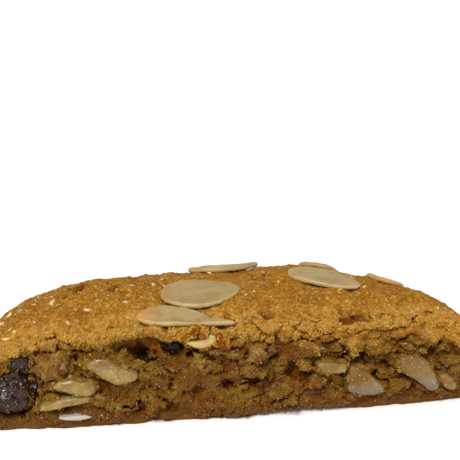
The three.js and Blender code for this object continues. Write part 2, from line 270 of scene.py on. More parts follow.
@contextmanager
def editing(obj: Thing, everything: bool = True) -> Iterator[None]:
    """Edit mode on one object, with its whole mesh selected unless told otherwise.

    Args:
        obj: the object.
        everything: whether its whole mesh is selected first.
    """
    select_only(obj)
    bpy.ops.object.mode_set(mode="EDIT")
    if everything:
        bpy.ops.mesh.select_all(action="SELECT")
    yield
    bpy.ops.object.mode_set(mode="OBJECT")


def clear_selection(mesh: bpy.types.Mesh) -> None:
    """Deselects every point, edge and face of a mesh."""
    for kind in (mesh.vertices, mesh.edges, mesh.polygons):
        kind.foreach_set("select", np.zeros(len(kind), bool))


def stack(obj: Thing, *mods: tuple[str, dict]) -> None:
    """Adds modifiers to an object and applies them in order.

    Args:
        obj: the object.
        mods: pairs of a modifier's type and a dictionary of its settings.
    """
    select_only(obj)
    for kind, settings in mods:
        mod = obj.modifiers.new(kind.lower(), kind)
        for key, value in settings.items():
            setattr(mod, key, value)
        bpy.ops.object.modifier_apply(modifier=mod.name)


def relief(kind: str, size: float, strength: float, mid: float = 0.5, axis: str = "NORMAL",
           **settings: float) -> tuple[str, dict]:
    """A relief to stack on a mesh.

    Args:
        kind: type of its procedural texture.
        size: about the size of its features in millimetres.
        strength: its depth in millimetres.
        mid: the texture's value that leaves the surface where it is.
        axis: direction in which it moves the surface.
        settings: further values of the texture.

    Returns:
        The modifier's type and its settings.
    """
    texture = bpy.data.textures.new("relief_%s_%g" % (kind.lower(), size), kind)
    texture.noise_scale = size * MM
    for key, value in settings.items():
        setattr(texture, key, value)
    return "DISPLACE", {"texture": texture, "strength": strength * MM, "mid_level": mid, "direction": axis}


def coordinates(mesh: bpy.types.Mesh) -> Array:
    """The mesh's points in millimetres."""
    coords = np.empty(len(mesh.vertices) * 3, np.float32)
    mesh.vertices.foreach_get("co", coords)
    return coords.reshape(-1, 3) / MM


def triangles(mesh: bpy.types.Mesh) -> Array:
    """Three corners for each of the mesh's triangles."""
    mesh.calc_loop_triangles()
    corners = np.empty(len(mesh.loop_triangles) * 3, np.int32)
    mesh.loop_triangles.foreach_get("vertices", corners)
    return corners.reshape(-1, 3)


def store(mesh: bpy.types.Mesh, name: str, values: Array) -> None:
    """Stores one value for each vertex, for the finishes."""
    layer = mesh.attributes.new(name, "FLOAT", "POINT")
    layer.data.foreach_set("value", np.ascontiguousarray(values, np.float32))


def mesh_object(name: str, points: Array, faces: Array) -> Thing:
    """Makes an object of a mesh given as arrays.

    Args:
        name: its name.
        points: its points in millimetres.
        faces: its faces, all with the same number of corners.

    Returns:
        The object, linked to the scene.
    """
    count, sides = faces.shape
    mesh = bpy.data.meshes.new(name)
    mesh.vertices.add(len(points))
    mesh.vertices.foreach_set("co", (points * MM).astype(np.float32).ravel())
    mesh.loops.add(count * sides)
    mesh.loops.foreach_set("vertex_index", faces.astype(np.int32).ravel())
    mesh.polygons.add(count)
    mesh.polygons.foreach_set("loop_start", np.arange(0, count * sides, sides, dtype=np.int32))
    mesh.polygons.foreach_set("loop_total", np.full(count, sides, np.int32))
    mesh.update(calc_edges=True)
    obj = bpy.data.objects.new(name, mesh)
    bpy.context.collection.objects.link(obj)
    return obj


def rounded(outline: Sequence[Point], parts: int = 4) -> Array:
    """A closed outline with its corners rounded.

    Args:
        outline: the outline's points.
        parts: points of the new outline for each given one.

    Returns:
        The points of a smooth curve through the given ones.
    """
    given = np.array(outline)
    before, after, beyond = (np.roll(given, k, axis=0) for k in (1, -1, -2))
    bend = 2.0 * before - 5.0 * given + 4.0 * after - beyond
    twist = 3.0 * given - before - 3.0 * after + beyond
    shares = np.arange(parts) / parts
    curve = [0.5 * (2.0 * given + (after - before) * t + bend * t * t + twist * t**3) for t in shares]
    return np.stack(curve, axis=1).reshape(-1, 2)


# --------------------------------------------------------------------------- voxels


@dataclass
class VoxelBlock:
    """A regular block of samples in the row's frame, in millimetres.

    Args:
        first: index of its lowest corner, in steps from the origin.
        shape: how many samples it has along each axis.
        step: edge of one voxel.
    """

    first: tuple[int, int, int]
    shape: tuple[int, int, int]
    step: float

    def __post_init__(self) -> None:
        """Works out the block's three axes."""
        axes = [self.step * (a + np.arange(n, dtype=np.float32)) for a, n in zip(self.first, self.shape)]
        self.x = axes[0][:, None, None]
        self.y = axes[1][None, :, None]
        self.z = axes[2][None, None, :]

    @classmethod
    def around(cls, low: Vector, high: Vector, step: float) -> "VoxelBlock":
        """The block that covers a box.

        Args:
            low: the box's lowest corner.
            high: its highest corner.
            step: edge of one voxel.

        Returns:
            The block.
        """
        first = tuple(math.floor(c / step) for c in low)
        last = [math.ceil(c / step) for c in high]
        return cls(first, tuple(b - a + 1 for a, b in zip(first, last)), step)

    def front(self, rows: int) -> "VoxelBlock":
        """The block's first rows along Y."""
        return VoxelBlock(self.first, (self.shape[0], rows, self.shape[2]), self.step)

    def level_set(self, objects: Iterable[Thing], out: float, inside: float) -> Array:
        """Signed distance to some closed meshes.

        Args:
            objects: their objects.
            out: how far outside the distance is known.
            inside: how far inside it is known.

        Returns:
            The distances in millimetres, negative inside.
        """
        points, faces, count = [], [], 0
        for obj in objects:
            points.append(coordinates(obj.data))
            faces.append(triangles(obj.data) + count)
            count += len(points[-1])
        grid = openvdb.FloatGrid.createLevelSetFromPolygons(
            np.concatenate(points).astype(np.float32),
            triangles=np.concatenate(faces).astype(np.uint32),
            transform=openvdb.createLinearTransform(self.step),
            exBandWidth=out / self.step,
            inBandWidth=inside / self.step,
        )
        values = np.empty(self.shape, np.float32)
        grid.copyToArray(values, ijk=self.first)
        return values

    def surface(self, values: Array) -> tuple[Array, Array]:
        """Meshes the zero level of a field.

        Args:
            values: the field over this block.

        Returns:
            Points in millimetres, and four-cornered faces that look outward.
        """
        grid = openvdb.FloatGrid(3.0)
        grid.copyFromArray(np.ascontiguousarray(values, np.float32), ijk=self.first)
        grid.transform = openvdb.createLinearTransform(self.step)
        grid.gridClass = "level set"
        points, _, quads = grid.convertToPolygons(isovalue=0.0, adaptivity=0.0)
        return points, quads[:, ::-1]

    def sample(self, values: Array, points: Array) -> Array:
        """Values of a field at any points.

        Args:
            values: the field over this block.
            points: positions in millimetres.

        Returns:
            One value for each point, blended from its eight neighbours.
        """
        at = points / self.step - np.array(self.first, np.float32)
        at = np.clip(at, 0.0, np.array(values.shape) - 1.001)
        base = at.astype(np.int32)
        part = (at - base).astype(np.float32)
        total = np.zeros(len(points), np.float32)
        for corner in range(8):
            bits = [(corner >> k) & 1 for k in range(3)]
            weight = np.ones(len(points), np.float32)
            for k, bit in enumerate(bits):
                weight *= part[:, k] if bit else 1.0 - part[:, k]
            i, j, k = (base[:, n] + bits[n] for n in range(3))
            total += weight * values[i, j, k]
        return total

    def column(self, values: Array, points: Array, axes: tuple[int, int]) -> Array:
        """Values of a flat map at any points.

        Args:
            values: a map over two of the block's axes.
            points: positions in millimetres.
            axes: which two axes these are.

        Returns:
            The value of the nearest column for each point.
        """
        ids = []
        for k, axis in enumerate(axes):
            at = np.rint(points[:, axis] / self.step).astype(int) - self.first[axis]
            ids.append(np.clip(at, 0, values.shape[k] - 1))
        return values[ids[0], ids[1]]

    def cloud(self, kind: Enum) -> Array:
        """Random field over the block, of the given kind."""
        size, seed = kind.value
        return cloud(self.shape, [s / self.step for s in size], seed)

    def map_cloud(self, kind: Enum) -> Array:
        """Random field over the block's plan, of the given kind."""
        size, seed = kind.value
        return cloud(self.shape[:2], [size / self.step] * 2, seed)


# --------------------------------------------------------------------------- the dough


class Crumb(Enum):
    """How a lump of torn dough is, by its moisture."""

    DRY = 0.0
    PALE = 0.4
    HONEY = 0.8
    MOIST = 1.0


class Blobs(Enum):
    """Random fields in the torn crumb: size of their blobs in millimetres, and seed."""

    WOBBLE = ((4.0, 4.0, 4.0), 5)
    ACROSS = ((2.6, 2.6, 2.6), 11)
    UPWARD = ((2.2, 2.2, 2.2), 12)
    HILLS = ((3.0, 3.0, 2.4), 21)
    LAYERS = ((5.0, 3.0, 1.5), 22)
    DAMP = ((4.5, 4.0, 2.6), 23)
    DRIFT = ((6.5, 5.0, 4.5), 24)
    SMALL = ((0.9, 0.9, 0.8), 32)
    RAGGED = ((1.5, 1.5, 1.3), 33)
    BILLOW = ((1.7, 1.7, 1.5), 35)
    CRUMPLE = ((0.9, 0.9, 0.8), 36)


class Patches(Enum):
    """Random fields over the crust: size of their patches in millimetres, and seed."""

    BROAD = (6.0, 41)
    FINE = (1.0, 42)
    MIDDLE = (2.4, 43)
    SANDY = (0.6, 44)
    POCKS = (1.3, 45)
    BEND_X = (1.6, 46)
    BEND_Y = (1.6, 47)


class Grain(Enum):
    """Packed grains of the torn crumb: their size in millimetres, and seed."""

    CLUMP = ((3.4, 3.0, 2.3), 3)
    COARSE = (1.15, 5)
    FINE = (0.55, 7)


@dataclass(frozen=True)
class Cave:
    """A hole torn into the face, with its place and size in the tear's axes.

    Args:
        x: place along the tear.
        z: height over the base.
        a: half width.
        b: half height.
        deep: how far it goes into the dough.
        turn: turn of its long axis in degrees.
    """

    x: float
    z: float
    a: float
    b: float
    deep: float
    turn: float = 0.0

    def axes(self, x: Array, z: Array) -> tuple[Array, Array]:
        """Place in the oval's own axes, 1 on its edge."""
        u, w = turned(x - (self.x + TEAR_X), z - self.z, self.turn)
        return u / self.a, w / self.b

    def field(self, x: Array, z: Array, behind: Array) -> Array:
        """Field that is positive in the hole.

        Args:
            x: place of the samples along X.
            z: their height.
            behind: how far they lie behind the torn surface.

        Returns:
            The field, about as steep as a distance.
        """
        u, w = self.axes(x, z)
        depth = np.clip(behind, 0.0, None) / self.deep
        return (1.0 - np.sqrt(u * u + w * w + depth * depth)) * min(self.a, self.b)


@dataclass(frozen=True)
class Lump(Cave):
    """A lump that stands out of the face.

    Args:
        out: how far in front of the torn surface its middle lies.
        crumb: whether it is dry crumb or moist dough.
    """

    out: float = 0.0
    crumb: Crumb = Crumb.DRY

    def field(self, x: Array, z: Array, behind: Array) -> Array:
        """Field that is negative in the lump.

        Args:
            x: place of the samples along X.
            z: their height.
            behind: how far they lie behind the torn surface.

        Returns:
            The field, about as steep as a distance.
        """
        u, w = self.axes(x, z)
        depth = (behind + self.out) / self.deep
        return (np.sqrt(u * u + w * w + depth * depth) - 1.0) * min(self.a, self.b, self.deep)


@dataclass(frozen=True)
class Groove:
    """A crack in the crust from one place of the plan to another, in the tear's axes."""

    start: Point
    end: Point
    wide: float
    deep: float

    def depth(self, x: Array, y: Array) -> Array:
        """How deep the crack is.

        Args:
            x: places along X.
            y: places along Y.

        Returns:
            The depth at each place, in millimetres.
        """
        ax, ay = self.start[0] + TEAR_X, self.start[1] + TEAR_Y
        bx, by = self.end[0] + TEAR_X, self.end[1] + TEAR_Y
        run = (bx - ax) ** 2 + (by - ay) ** 2
        t = np.clip(((x - ax) * (bx - ax) + (y - ay) * (by - ay)) / run, 0.0, 1.0)
        away = np.hypot(x - ax - t * (bx - ax), y - ay - t * (by - ay))
        wide = self.wide * (1.0 - 0.6 * t)
        return 1.5 * self.deep * (1.0 - 0.5 * t) * (1.0 - smooth(0.25, 1.0, away / wide))


@dataclass(frozen=True)
class Pit:
    """An oval dent in the crust, in the tear's axes."""

    x: float
    y: float
    a: float
    b: float
    deep: float

    def depth(self, x: Array, y: Array) -> Array:
        """How deep the dent is at each place of the plan."""
        away = np.hypot((x - self.x - TEAR_X) / self.a, (y - self.y - TEAR_Y) / self.b)
        return self.deep * (1.0 - smooth(0.5, 1.1, away))


CAVES = tuple(Cave(*row) for row in (
    (-13.2, 13.9, 5.6, 2.1, 4.4, -5), (-15.6, 11.5, 3.3, 1.4, 7.0, -23), (-25.4, 13.9, 2.2, 0.8, 3.6, 20),
    (-28.0, 15.3, 0.9, 0.8, 2.2, 0), (-0.1, 14.4, 2.1, 0.65, 3.4, 6), (-5.6, 12.0, 1.5, 1.2, 3.6, 20),
    (10.1, 14.3, 1.3, 0.6, 2.4, -10), (13.3, 8.1, 2.7, 1.4, 6.0, 14), (5.4, 6.7, 2.7, 0.75, 5.0, 10),
    (0.6, 6.1, 1.6, 1.0, 4.2, 14), (18.7, 6.7, 2.2, 0.9, 4.2, -24), (18.2, 4.9, 0.8, 0.6, 2.6, -24),
    (24.7, 11.0, 2.4, 0.8, 4.6, -14), (30.8, 7.8, 1.4, 0.8, 4.4, -30), (36.2, 3.2, 1.2, 0.6, 2.6, 14),
    (40.2, 10.2, 1.1, 0.6, 3.6, -24), (42.1, 11.5, 0.8, 0.5, 3.0, -30), (33.6, 10.4, 1.2, 0.45, 3.0, -14),
    (13.9, 13.4, 0.45, 0.4, 2.6, 0), (7.2, 11.9, 0.5, 0.5, 2.4, 30), (-13.0, 4.4, 1.5, 0.5, 3.2, 8),
    (-18.0, 3.6, 2.4, 0.6, 2.8, 6), (-9.6, 2.9, 1.4, 0.6, 2.4, 10), (-7.4, 5.2, 0.9, 0.5, 2.6, -10),
    (-21.4, 8.0, 3.2, 0.5, 2.4, -14), (-29.4, 3.7, 1.7, 0.55, 3.0, 0), (-34.0, 9.8, 2.2, 0.6, 2.2, -20),
    (-47.0, 9.2, 1.8, 0.8, 3.0, -30), (50.4, 6.4, 1.6, 0.8, 3.0, 30),
))

LUMPS = tuple(Lump(*row, crumb) for crumb, rows in (
    (Crumb.HONEY, ((-31.2, 11.3, 1.9, 2.4, 1.6, -16, 0.2),)),
    (Crumb.MOIST, ((-12.7, 8.0, 2.5, 1.5, 1.5, -8, 0.1), (-7.1, 8.6, 2.6, 1.6, 1.6, 24, 0.2))),
    (Crumb.PALE, (
        (4.8, 9.0, 1.9, 0.85, 1.5, -6, 0.3), (5.8, 12.0, 1.6, 0.75, 1.3, 10, 0.4),
        (-3.4, 9.6, 1.1, 0.7, 1.2, 30, 0.2), (-0.6, 12.9, 2.2, 0.6, 1.3, -4, 0.2),
        (-4.2, 11.3, 1.5, 0.75, 1.2, -10, 0.1), (9.6, 5.0, 1.6, 0.9, 1.4, 20, 0.2),
        (0.9, 12.2, 1.2, 0.6, 1.2, 0, 0.2), (-28.9, 11.6, 0.8, 1.0, 1.2, 0, 0.2),
        (36.9, 12.4, 1.7, 0.7, 1.3, -20, 0.2), (-22.5, 5.5, 0.9, 0.7, 1.3, 0, 0.4),
    )),
    (Crumb.MOIST, ((15.6, 5.9, 2.0, 0.75, 1.8, 14, 0.2), (11.6, 4.3, 2.0, 0.6, 1.8, 44, 0.3))),
    (Crumb.DRY, (
        (-24.9, 12.3, 1.3, 0.8, 1.3, 30, 0.1), (-23.5, 13.0, 1.2, 0.9, 1.3, 10, 0.0),
        (-18.8, 12.3, 0.9, 0.65, 1.2, -40, 0.1), (-17.5, 11.2, 1.0, 0.7, 1.3, -20, 0.2),
        (-15.6, 10.5, 1.2, 0.65, 1.4, -28, 0.2), (-12.8, 2.8, 1.5, 0.5, 1.2, 8, 0.1),
        (-10.2, 5.7, 1.7, 0.6, 1.2, 12, 0.1), (-22.6, 4.6, 2.0, 1.1, 1.5, 10, 0.0),
        (23.0, 10.6, 0.6, 0.5, 0.9, 0, 0.3), (16.9, 7.9, 1.3, 0.5, 1.3, -36, 0.3),
        (14.6, 9.6, 1.7, 0.8, 1.4, -22, 0.2), (15.2, 11.8, 1.6, 1.1, 1.3, -10, 0.1),
        (24.6, 12.6, 1.8, 1.0, 1.2, -10, 0.1), (28.2, 12.2, 2.0, 1.0, 1.2, -20, 0.1),
        (33.2, 3.9, 2.0, 0.9, 1.3, 10, 0.0),
    )),
) for row in rows)

# Crumbs on top of the almond piece under the front flake.
PERCHED = tuple(Lump(*row) for row in (
    (-6.9, 16.9, 1.5, 0.75, 2.1, 14, 1.4), (-4.7, 17.0, 1.2, 0.6, 1.9, -6, 1.4),
    (-1.5, 16.5, 1.1, 0.85, 2.0, -30, 1.4), (-1.0, 15.2, 0.95, 1.2, 1.9, 10, 1.2),
))

# The deep slit at the bottom of the cave under the crust, painted dark as shade, and the lifted stretch of
# the lower edge.
HOLLOW = Cave(-15.4, 11.1, 3.2, 1.2, 8.0, -23)
UNDERCUT = Cave(14.5, 0.0, 10.0, 1.1, 7.5)

GROOVES = tuple(Groove(*row) for row in (
    ((-26.0, -4.6), (-28.4, -13.0), 1.1, 1.7), ((-19.6, -7.0), (-20.6, -11.0), 1.3, 1.7),
    ((-18.4, -10.6), (-14.8, -13.4), 0.7, 1.4), ((16.4, -23.4), (19.8, -25.0), 0.6, 1.1),
    ((26.0, -13.0), (31.0, -15.6), 0.6, 0.8), ((33.5, -2.0), (38.0, -5.0), 0.7, 0.8),
    ((8.0, -6.0), (12.5, -3.4), 0.5, 0.7), ((-4.0, 13.0), (-9.0, 16.0), 0.6, 0.8),
    ((-40.0, -12.0), (-43.5, -9.0), 0.5, 0.7), ((12.0, 16.0), (17.0, 13.5), 0.6, 0.8),
))

PITS = tuple(Pit(*row) for row in (
    (7.8, -22.2, 1.7, 1.1, 2.6), (24.3, -22.2, 3.3, 2.0, 3.0), (0.2, -23.5, 3.2, 1.4, 1.5),
    (-15.1, -16.8, 0.5, 0.4, 0.9), (-19.5, -19.8, 0.3, 0.3, 0.7), (33.0, -8.0, 0.9, 0.6, 0.9),
    (12.0, 9.5, 0.8, 0.6, 0.9), (-30.0, 8.0, 0.7, 0.6, 0.9), (-38.5, -16.0, 0.4, 0.3, 0.7),
    (44.0, 2.0, 0.6, 0.5, 0.9),
))


@dataclass
class DoughForm:
    """The baked dough: crust, flat base and torn crumb in one closed skin.

    Args:
        step: edge of a voxel in millimetres.
        opened: how far behind the torn surface the crumb is opened up.
        spare: how far the block's front part reaches beyond that.
        lead: how far behind the torn surface the crust's own field is taken from.
        seat_gap: how far from a piece's solid the dough's own surface shows.
        base_lift: height of the finished base.
        front_reach: how far crumb may stand out in front of the solid.
        side_reach: how far it may stand out to the sides.
        warp_share: how far the warp shifts the fine grains.
        face_budget: triangles kept on the torn crumb.
        crust_budget: triangles kept on the crust.
        base_budget: triangles kept on the base.
    """

    step: float = 0.2
    opened: float = 8.0
    spare: float = 6.5
    lead: float = 1.3
    seat_gap: float = 0.7
    base_lift: float = 0.02
    front_reach: float = 1.2
    side_reach: float = 0.4
    warp_share: float = 0.35
    face_budget: int = 124000
    crust_budget: int = 44500
    base_budget: int = 3500

    def build(self, dough: Thing, seats: Sequence[Thing],
              pieces: Sequence[tuple[Sequence[Thing], float, float]]) -> Thing:
        """Sculpts the dough over its solid.

        Args:
            dough: the dough's solid.
            seats: the solids whose seats are cut into it.
            pieces: groups of pieces that the torn crumb leaves open to view, each with how
                far its opening is wider than the pieces and how uneven it is, in millimetres.

        Returns:
            The new dough object, with its colour masks as attributes.
        """
        low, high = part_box("dough")
        margin = Vector((1.0, 1.0, 1.0))
        self.low, self.high = low / MM, high / MM
        self.block = VoxelBlock.around(self.low - margin, self.high + margin, self.step)
        body = self.crusted(self.filled_body(dough, seats))
        rows = int((self.opened + self.spare) / self.step)
        self.front = self.block.front(rows)
        self.fits = [(self.front.level_set(group, out=2.5, inside=1.5), *how) for group, *how in pieces]
        body[:, :rows, :] = self.torn_crumb(body)
        lap("torn crumb")
        body = np.maximum(body, UNDERCUT.field(self.block.x, self.block.z, self.block.y - self.low.y))
        body = np.maximum(body, self.base_lift - self.block.z)
        body = np.maximum(body, self.low.y - self.front_reach - self.block.y)
        body = np.maximum(body, np.abs(self.block.x) - (self.high.x + self.side_reach))
        obj = self.to_object(*self.block.surface(body))
        self.thin_out(obj)
        self.paint(obj, body)
        lap("dough's surface")
        return obj

    def filled_body(self, dough: Thing, pieces: Sequence[Thing]) -> Array:
        """The dough's field with the seats of its pieces filled up to the surface.

        Args:
            dough: the dough's solid.
            pieces: the solids whose seats are filled.

        Returns:
            The field over the whole block.
        """
        block, step = self.block, self.step
        plan_x, plan_y, depths, heights = block.x[:, :, 0], block.y[:, :, 0], block.y[0, :, 0], block.z[0, 0]
        solid = block.level_set([dough], out=3.0, inside=3.6)
        seats = block.level_set(pieces, out=2.5, inside=2.5)
        open_air = seats > self.seat_gap
        inside = solid < 0.0
        # The torn surface: where each column along Y first meets the dough.
        lead = np.argmax(inside, axis=1)
        near = depths[lead] - 0.5 * step
        clear = np.take_along_axis(open_air, lead[:, None, :], axis=1)[:, 0, :] & inside.any(axis=1)
        clear &= near < -15.0
        self.tear_line = self.mean_line(near, clear)
        # The crust: where each upright column leaves it, without the seats and the torn edge.
        last = block.shape[2] - 1 - np.argmax(inside[:, :, ::-1], axis=2)
        top = heights[last] + 0.5 * step
        seen = np.take_along_axis(open_air, last[:, :, None], axis=2)[:, :, 0] & inside.any(axis=2)
        seen |= self.seat_of("flake_front", top)
        seen &= depths[None, :] > self.tear_line[:, None] + 1.2
        at_front = plan_y < 0.0
        for _ in range(3):
            ahead = filled_in(top, seen & at_front, [1.0 / step] * 2)
            broad = blurred(ahead, [6.0 / step] * 2)
            seen &= (top > broad - 1.5) | (np.abs(plan_x) > 40.0) | (plan_y > -14.0)
        self.crust_height = np.where(at_front, ahead, filled_in(top, seen, [1.0 / step] * 2))
        clear &= block.z[0] < self.lip_height()[:, None]
        line = filled_in(near, clear, [1.0 / step] * 2)
        self.face_line = blurred(line, [0.5 / step] * 2)
        self.face_mean = blurred(line, [5.0 / step, 4.0 / step])
        plug = np.maximum(seats - self.seat_gap, block.z - self.crust_height[:, :, None])
        plug = np.maximum(plug, self.face_line[:, None, :] - block.y)
        return blurred(np.minimum(solid, plug), [0.4 / step] * 3)

    def seat_of(self, name: str, top: Array) -> Array:
        """Places of the plan where the dough carries a flake on its crust.

        Args:
            name: the flake's node.
            top: height of the dough's solid in each place of the plan.

        Returns:
            True where the flake lies on the crust.
        """
        low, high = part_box(name)
        x, y = self.block.x[:, :, 0] * MM, self.block.y[:, :, 0] * MM
        covered = (x > low.x - MM) & (x < high.x + MM) & (y > low.y - MM) & (y < high.y + MM)
        return covered & (top > low.z / MM - 1.1)

    def mean_line(self, near: Array, clear: Array) -> Array:
        """Where the tear runs.

        Args:
            near: where each column along Y first meets the dough.
            clear: which of these columns count.

        Returns:
            One value of Y for each place along the tear.
        """
        levels = (self.block.z[0, 0] > 3.0) & (self.block.z[0, 0] < 12.0)
        seen = clear[:, levels]
        mid = (near[:, levels] * seen).sum(axis=1) / np.maximum(seen.sum(axis=1), 1)
        known = seen.sum(axis=1) > 5
        return np.interp(np.arange(len(mid)), np.nonzero(known)[0], mid[known])

    def lip_height(self) -> Array:
        """Height at which the torn face ends and the crust begins, along the tear."""
        rows = np.rint((self.tear_line + 1.4) / self.step).astype(int) - self.block.first[1]
        rows = np.clip(rows, 0, self.block.shape[1] - 1)
        lip = self.crust_height[np.arange(len(rows)), rows]
        return blurred(lip, [1.0 / self.step])

    def crusted(self, body: Array) -> Array:
        """Roughens the crust, with broad unevenness, sandy grain, pits and cracks.

        Args:
            body: the field over the whole block.

        Returns:
            The field with the crust's relief.
        """
        block = self.block
        broad, middle, fine, sandy = (
            block.map_cloud(kind) for kind in (Patches.BROAD, Patches.MIDDLE, Patches.FINE, Patches.SANDY))
        rise = 0.16 * broad + 0.1 * middle + 0.08 * fine + 0.05 * sandy
        crumbly = 1.0 - smooth(0.5, 4.5, block.y[:, :, 0] - self.tear_line[:, None] + broad)
        rise += crumbly * (0.12 * fine + 0.1 * sandy - 0.3 * smooth(0.4, 1.2, middle))
        rise -= 0.35 * smooth(1.9, 2.7, block.map_cloud(Patches.POCKS))
        x = block.x[:, :, 0] + 0.45 * block.map_cloud(Patches.BEND_X)
        y = block.y[:, :, 0] + 0.45 * block.map_cloud(Patches.BEND_Y)
        for dent in GROOVES + PITS:
            rise -= dent.depth(x, y)
        self.crust_rise = rise
        under = self.crust_height[:, :, None] - block.z
        skin = (1.0 - smooth(1.2, 2.6, under)) * smooth(0.3, 1.5, block.z)
        return body - skin * rise[:, :, None]

    @staticmethod
    def dry_reach(x: Array) -> Array:
        """How much deeper than at the left end the dry crumb under the crust reaches."""
        return 1.8 * smooth(-13.0, -3.0, x)

    def warped(self, points: Array, warp: Sequence[Array]) -> Array:
        """Points shifted by the warp, so that the grains don't lie in rows."""
        spots = points.copy()
        for axis, shift in zip((0, 2), warp):
            spots[:, axis] += self.warp_share * shift
        return spots

    def spots(self, near: Array) -> Array:
        """Warped positions of the chosen samples, for the grain patterns."""
        front, ids = self.front, np.nonzero(near)
        points = np.stack([front.x[ids[0], 0, 0], front.y[0, ids[1], 0], front.z[0, 0, ids[2]]], axis=-1)
        return self.warped(points, [shift[near] for shift in self.warp])

    def torn_crumb(self, body: Array) -> Array:
        """Opens the front of the dough's field up into torn crumb.

        Args:
            body: the field over the whole block.

        Returns:
            The field over the front part, with clumps, crevices, grains and caves.
        """
        self.lay_out()
        torn = self.lumpy(self.hollowed(self.clumped()))
        self.roughen(torn)
        return self.joined(torn, body)

    def lay_out(self) -> None:
        """Works out the torn face's three zones, its shared random fields and its moisture."""
        front = self.front
        self.under = self.crust_height[:, : front.shape[1], None] - front.z
        self.behind = front.y - self.face_mean[:, None, :]
        wobble = front.cloud(Blobs.WOBBLE)
        self.upper = 1.0 - smooth(2.4, 4.8, self.under + wobble - self.dry_reach(front.x))
        lower = 1.0 - smooth(2.0, 3.6, front.z + 0.6 * wobble)
        self.lower = np.clip(lower - self.upper, 0.0, 1.0)
        self.middle = np.clip(1.0 - self.upper - self.lower, 0.0, 1.0)
        self.warp = (0.5 * front.cloud(Blobs.ACROSS), 0.4 * front.cloud(Blobs.UPWARD))
        self.place = (front.x + self.warp[0], front.z + self.warp[1])
        self.small = front.cloud(Blobs.SMALL)
        self.ragged = front.cloud(Blobs.RAGGED)
        wet = front.cloud(Blobs.DAMP) + 0.7 * self.middle - 1.8 * self.upper - 1.4 * self.lower
        self.moist = smooth(0.3, 1.3, wet)

    def clumped(self) -> Array:
        """The torn face's field, with hills, layers and clumps that are parted by cracks."""
        front, upper, middle, lower = self.front, self.upper, self.middle, self.lower
        torn = self.face_line[:, None, :] + 0.1 - front.y
        foot = smooth(0.2, 1.6, front.z)
        torn -= (0.35 * upper + 0.42 * middle + 0.2 * lower) * foot * front.cloud(Blobs.HILLS)
        torn -= (0.1 * upper + 0.38 * middle + 0.15 * lower) * foot * front.cloud(Blobs.LAYERS)
        torn -= 0.4 * (1.0 - smooth(0.4, 2.4, self.under)) * self.ragged
        near = np.abs(torn) < 2.6
        rise, gap, _ = grains(self.spots(near), *Grain.CLUMP.value)
        up, mid = upper[near], middle[near]
        crack = 1.0 - smooth(0.0, 0.3 + 0.1 * self.ragged[near], gap)
        drift = smooth(-0.5, 1.1, front.cloud(Blobs.DRIFT)[near])
        torn[near] += crack * (0.15 + 1.7 * drift) * (0.4 + 0.6 * mid + 0.35 * up)
        torn[near] -= 0.3 * rise * (0.6 + 0.4 * up)
        return torn

    def hollowed(self, torn: Array) -> Array:
        """Cuts the caves, the pores and the openings round the pieces.

        Args:
            torn: the torn face's field.

        Returns:
            The field with its hollows.
        """
        front, behind, under = self.front, self.behind, self.under
        cave = np.full(front.shape, -4.0, np.float32)
        for hole in CAVES:
            cave = np.maximum(cave, hole.field(*self.place, behind))
        torn = soft_max(torn, cave - 4.0 * (1.0 - smooth(0.9, 1.6, under)), 0.25)
        # Mask of painted shade at the bottom of the deep slit in the cave.
        self.slit_shade = smooth(-0.3, 0.4, HOLLOW.field(*self.place, behind)) * smooth(0.2, 1.2, behind)
        shut = smooth(1.3, 2.4, under) * smooth(0.4, 1.2, front.z)
        pores = 0.35 * (self.small - 1.6 - 0.4 * np.clip(behind, -1.0, 9.0) - 0.6 * self.moist)
        torn = soft_max(torn, pores - 3.0 * (1.0 - shut), 0.15)
        for fit, grow, uneven in self.fits:
            nearest = fit.min(axis=1)
            lead = front.y[0, :, 0][np.argmax(fit < 0.1, axis=1)]
            ahead = (lead + 0.4)[:, None, :] - front.y
            rim = (grow - nearest)[:, None, :] + uneven * (0.7 * self.small + self.ragged)
            torn = soft_max(torn, np.minimum(rim, ahead), 0.12)
        return torn

    def lumpy(self, torn: Array) -> Array:
        """Sets the lumps on the face, and notes where the crumb is pale or sandy.

        Args:
            torn: the torn face's field.

        Returns:
            The field with its lumps.
        """
        self.pale, self.sandy = (np.zeros(self.front.shape, np.float32) for _ in range(2))
        for lump in LUMPS:
            shape = lump.field(*self.place, self.behind)
            torn = soft_min(torn, shape, 0.5)
            share = 1.0 - smooth(-0.2, 0.6, shape)
            self.moist += share * (lump.crumb.value - self.moist)
            if lump.crumb is not Crumb.MOIST:
                mask = self.sandy if lump.crumb is Crumb.DRY else self.pale
                np.maximum(mask, 1.0 - smooth(-0.1, 0.3, shape), out=mask)
        return soft_max(torn, self.low.y - 0.7 - self.front.y, 0.4)

    def roughen(self, torn: Array) -> None:
        """Works grains, billows and crumples into the torn face's field."""
        front = self.front
        near = np.abs(torn) < 0.9
        spots = self.spots(near)
        spots[:, 0] += 0.22 * self.small[near]
        spots[:, 2] += 0.22 * self.ragged[near]
        coarse, fine = (grains(spots, *kind.value)[0] for kind in (Grain.COARSE, Grain.FINE))
        billow = np.abs(front.cloud(Blobs.BILLOW)[near]) - 0.8
        crumple = np.abs(front.cloud(Blobs.CRUMPLE)[near]) - 0.8
        up, low = self.upper[near], self.lower[near]
        dry = 1.0 - self.moist[near]
        cut = 0.26 * coarse * (0.8 + 0.2 * up - 0.3 * low) * (0.35 + 0.65 * dry)
        cut += 0.14 * fine * (0.3 + 0.7 * dry)
        cut += 0.24 * billow * (0.8 + 0.2 * up) + 0.17 * crumple * (0.55 + 0.45 * dry)
        edge = smooth(0.1, 1.3, np.broadcast_to(front.z, torn.shape)[near])
        torn[near] -= (cut - 0.08) * (0.3 + 0.7 * edge)

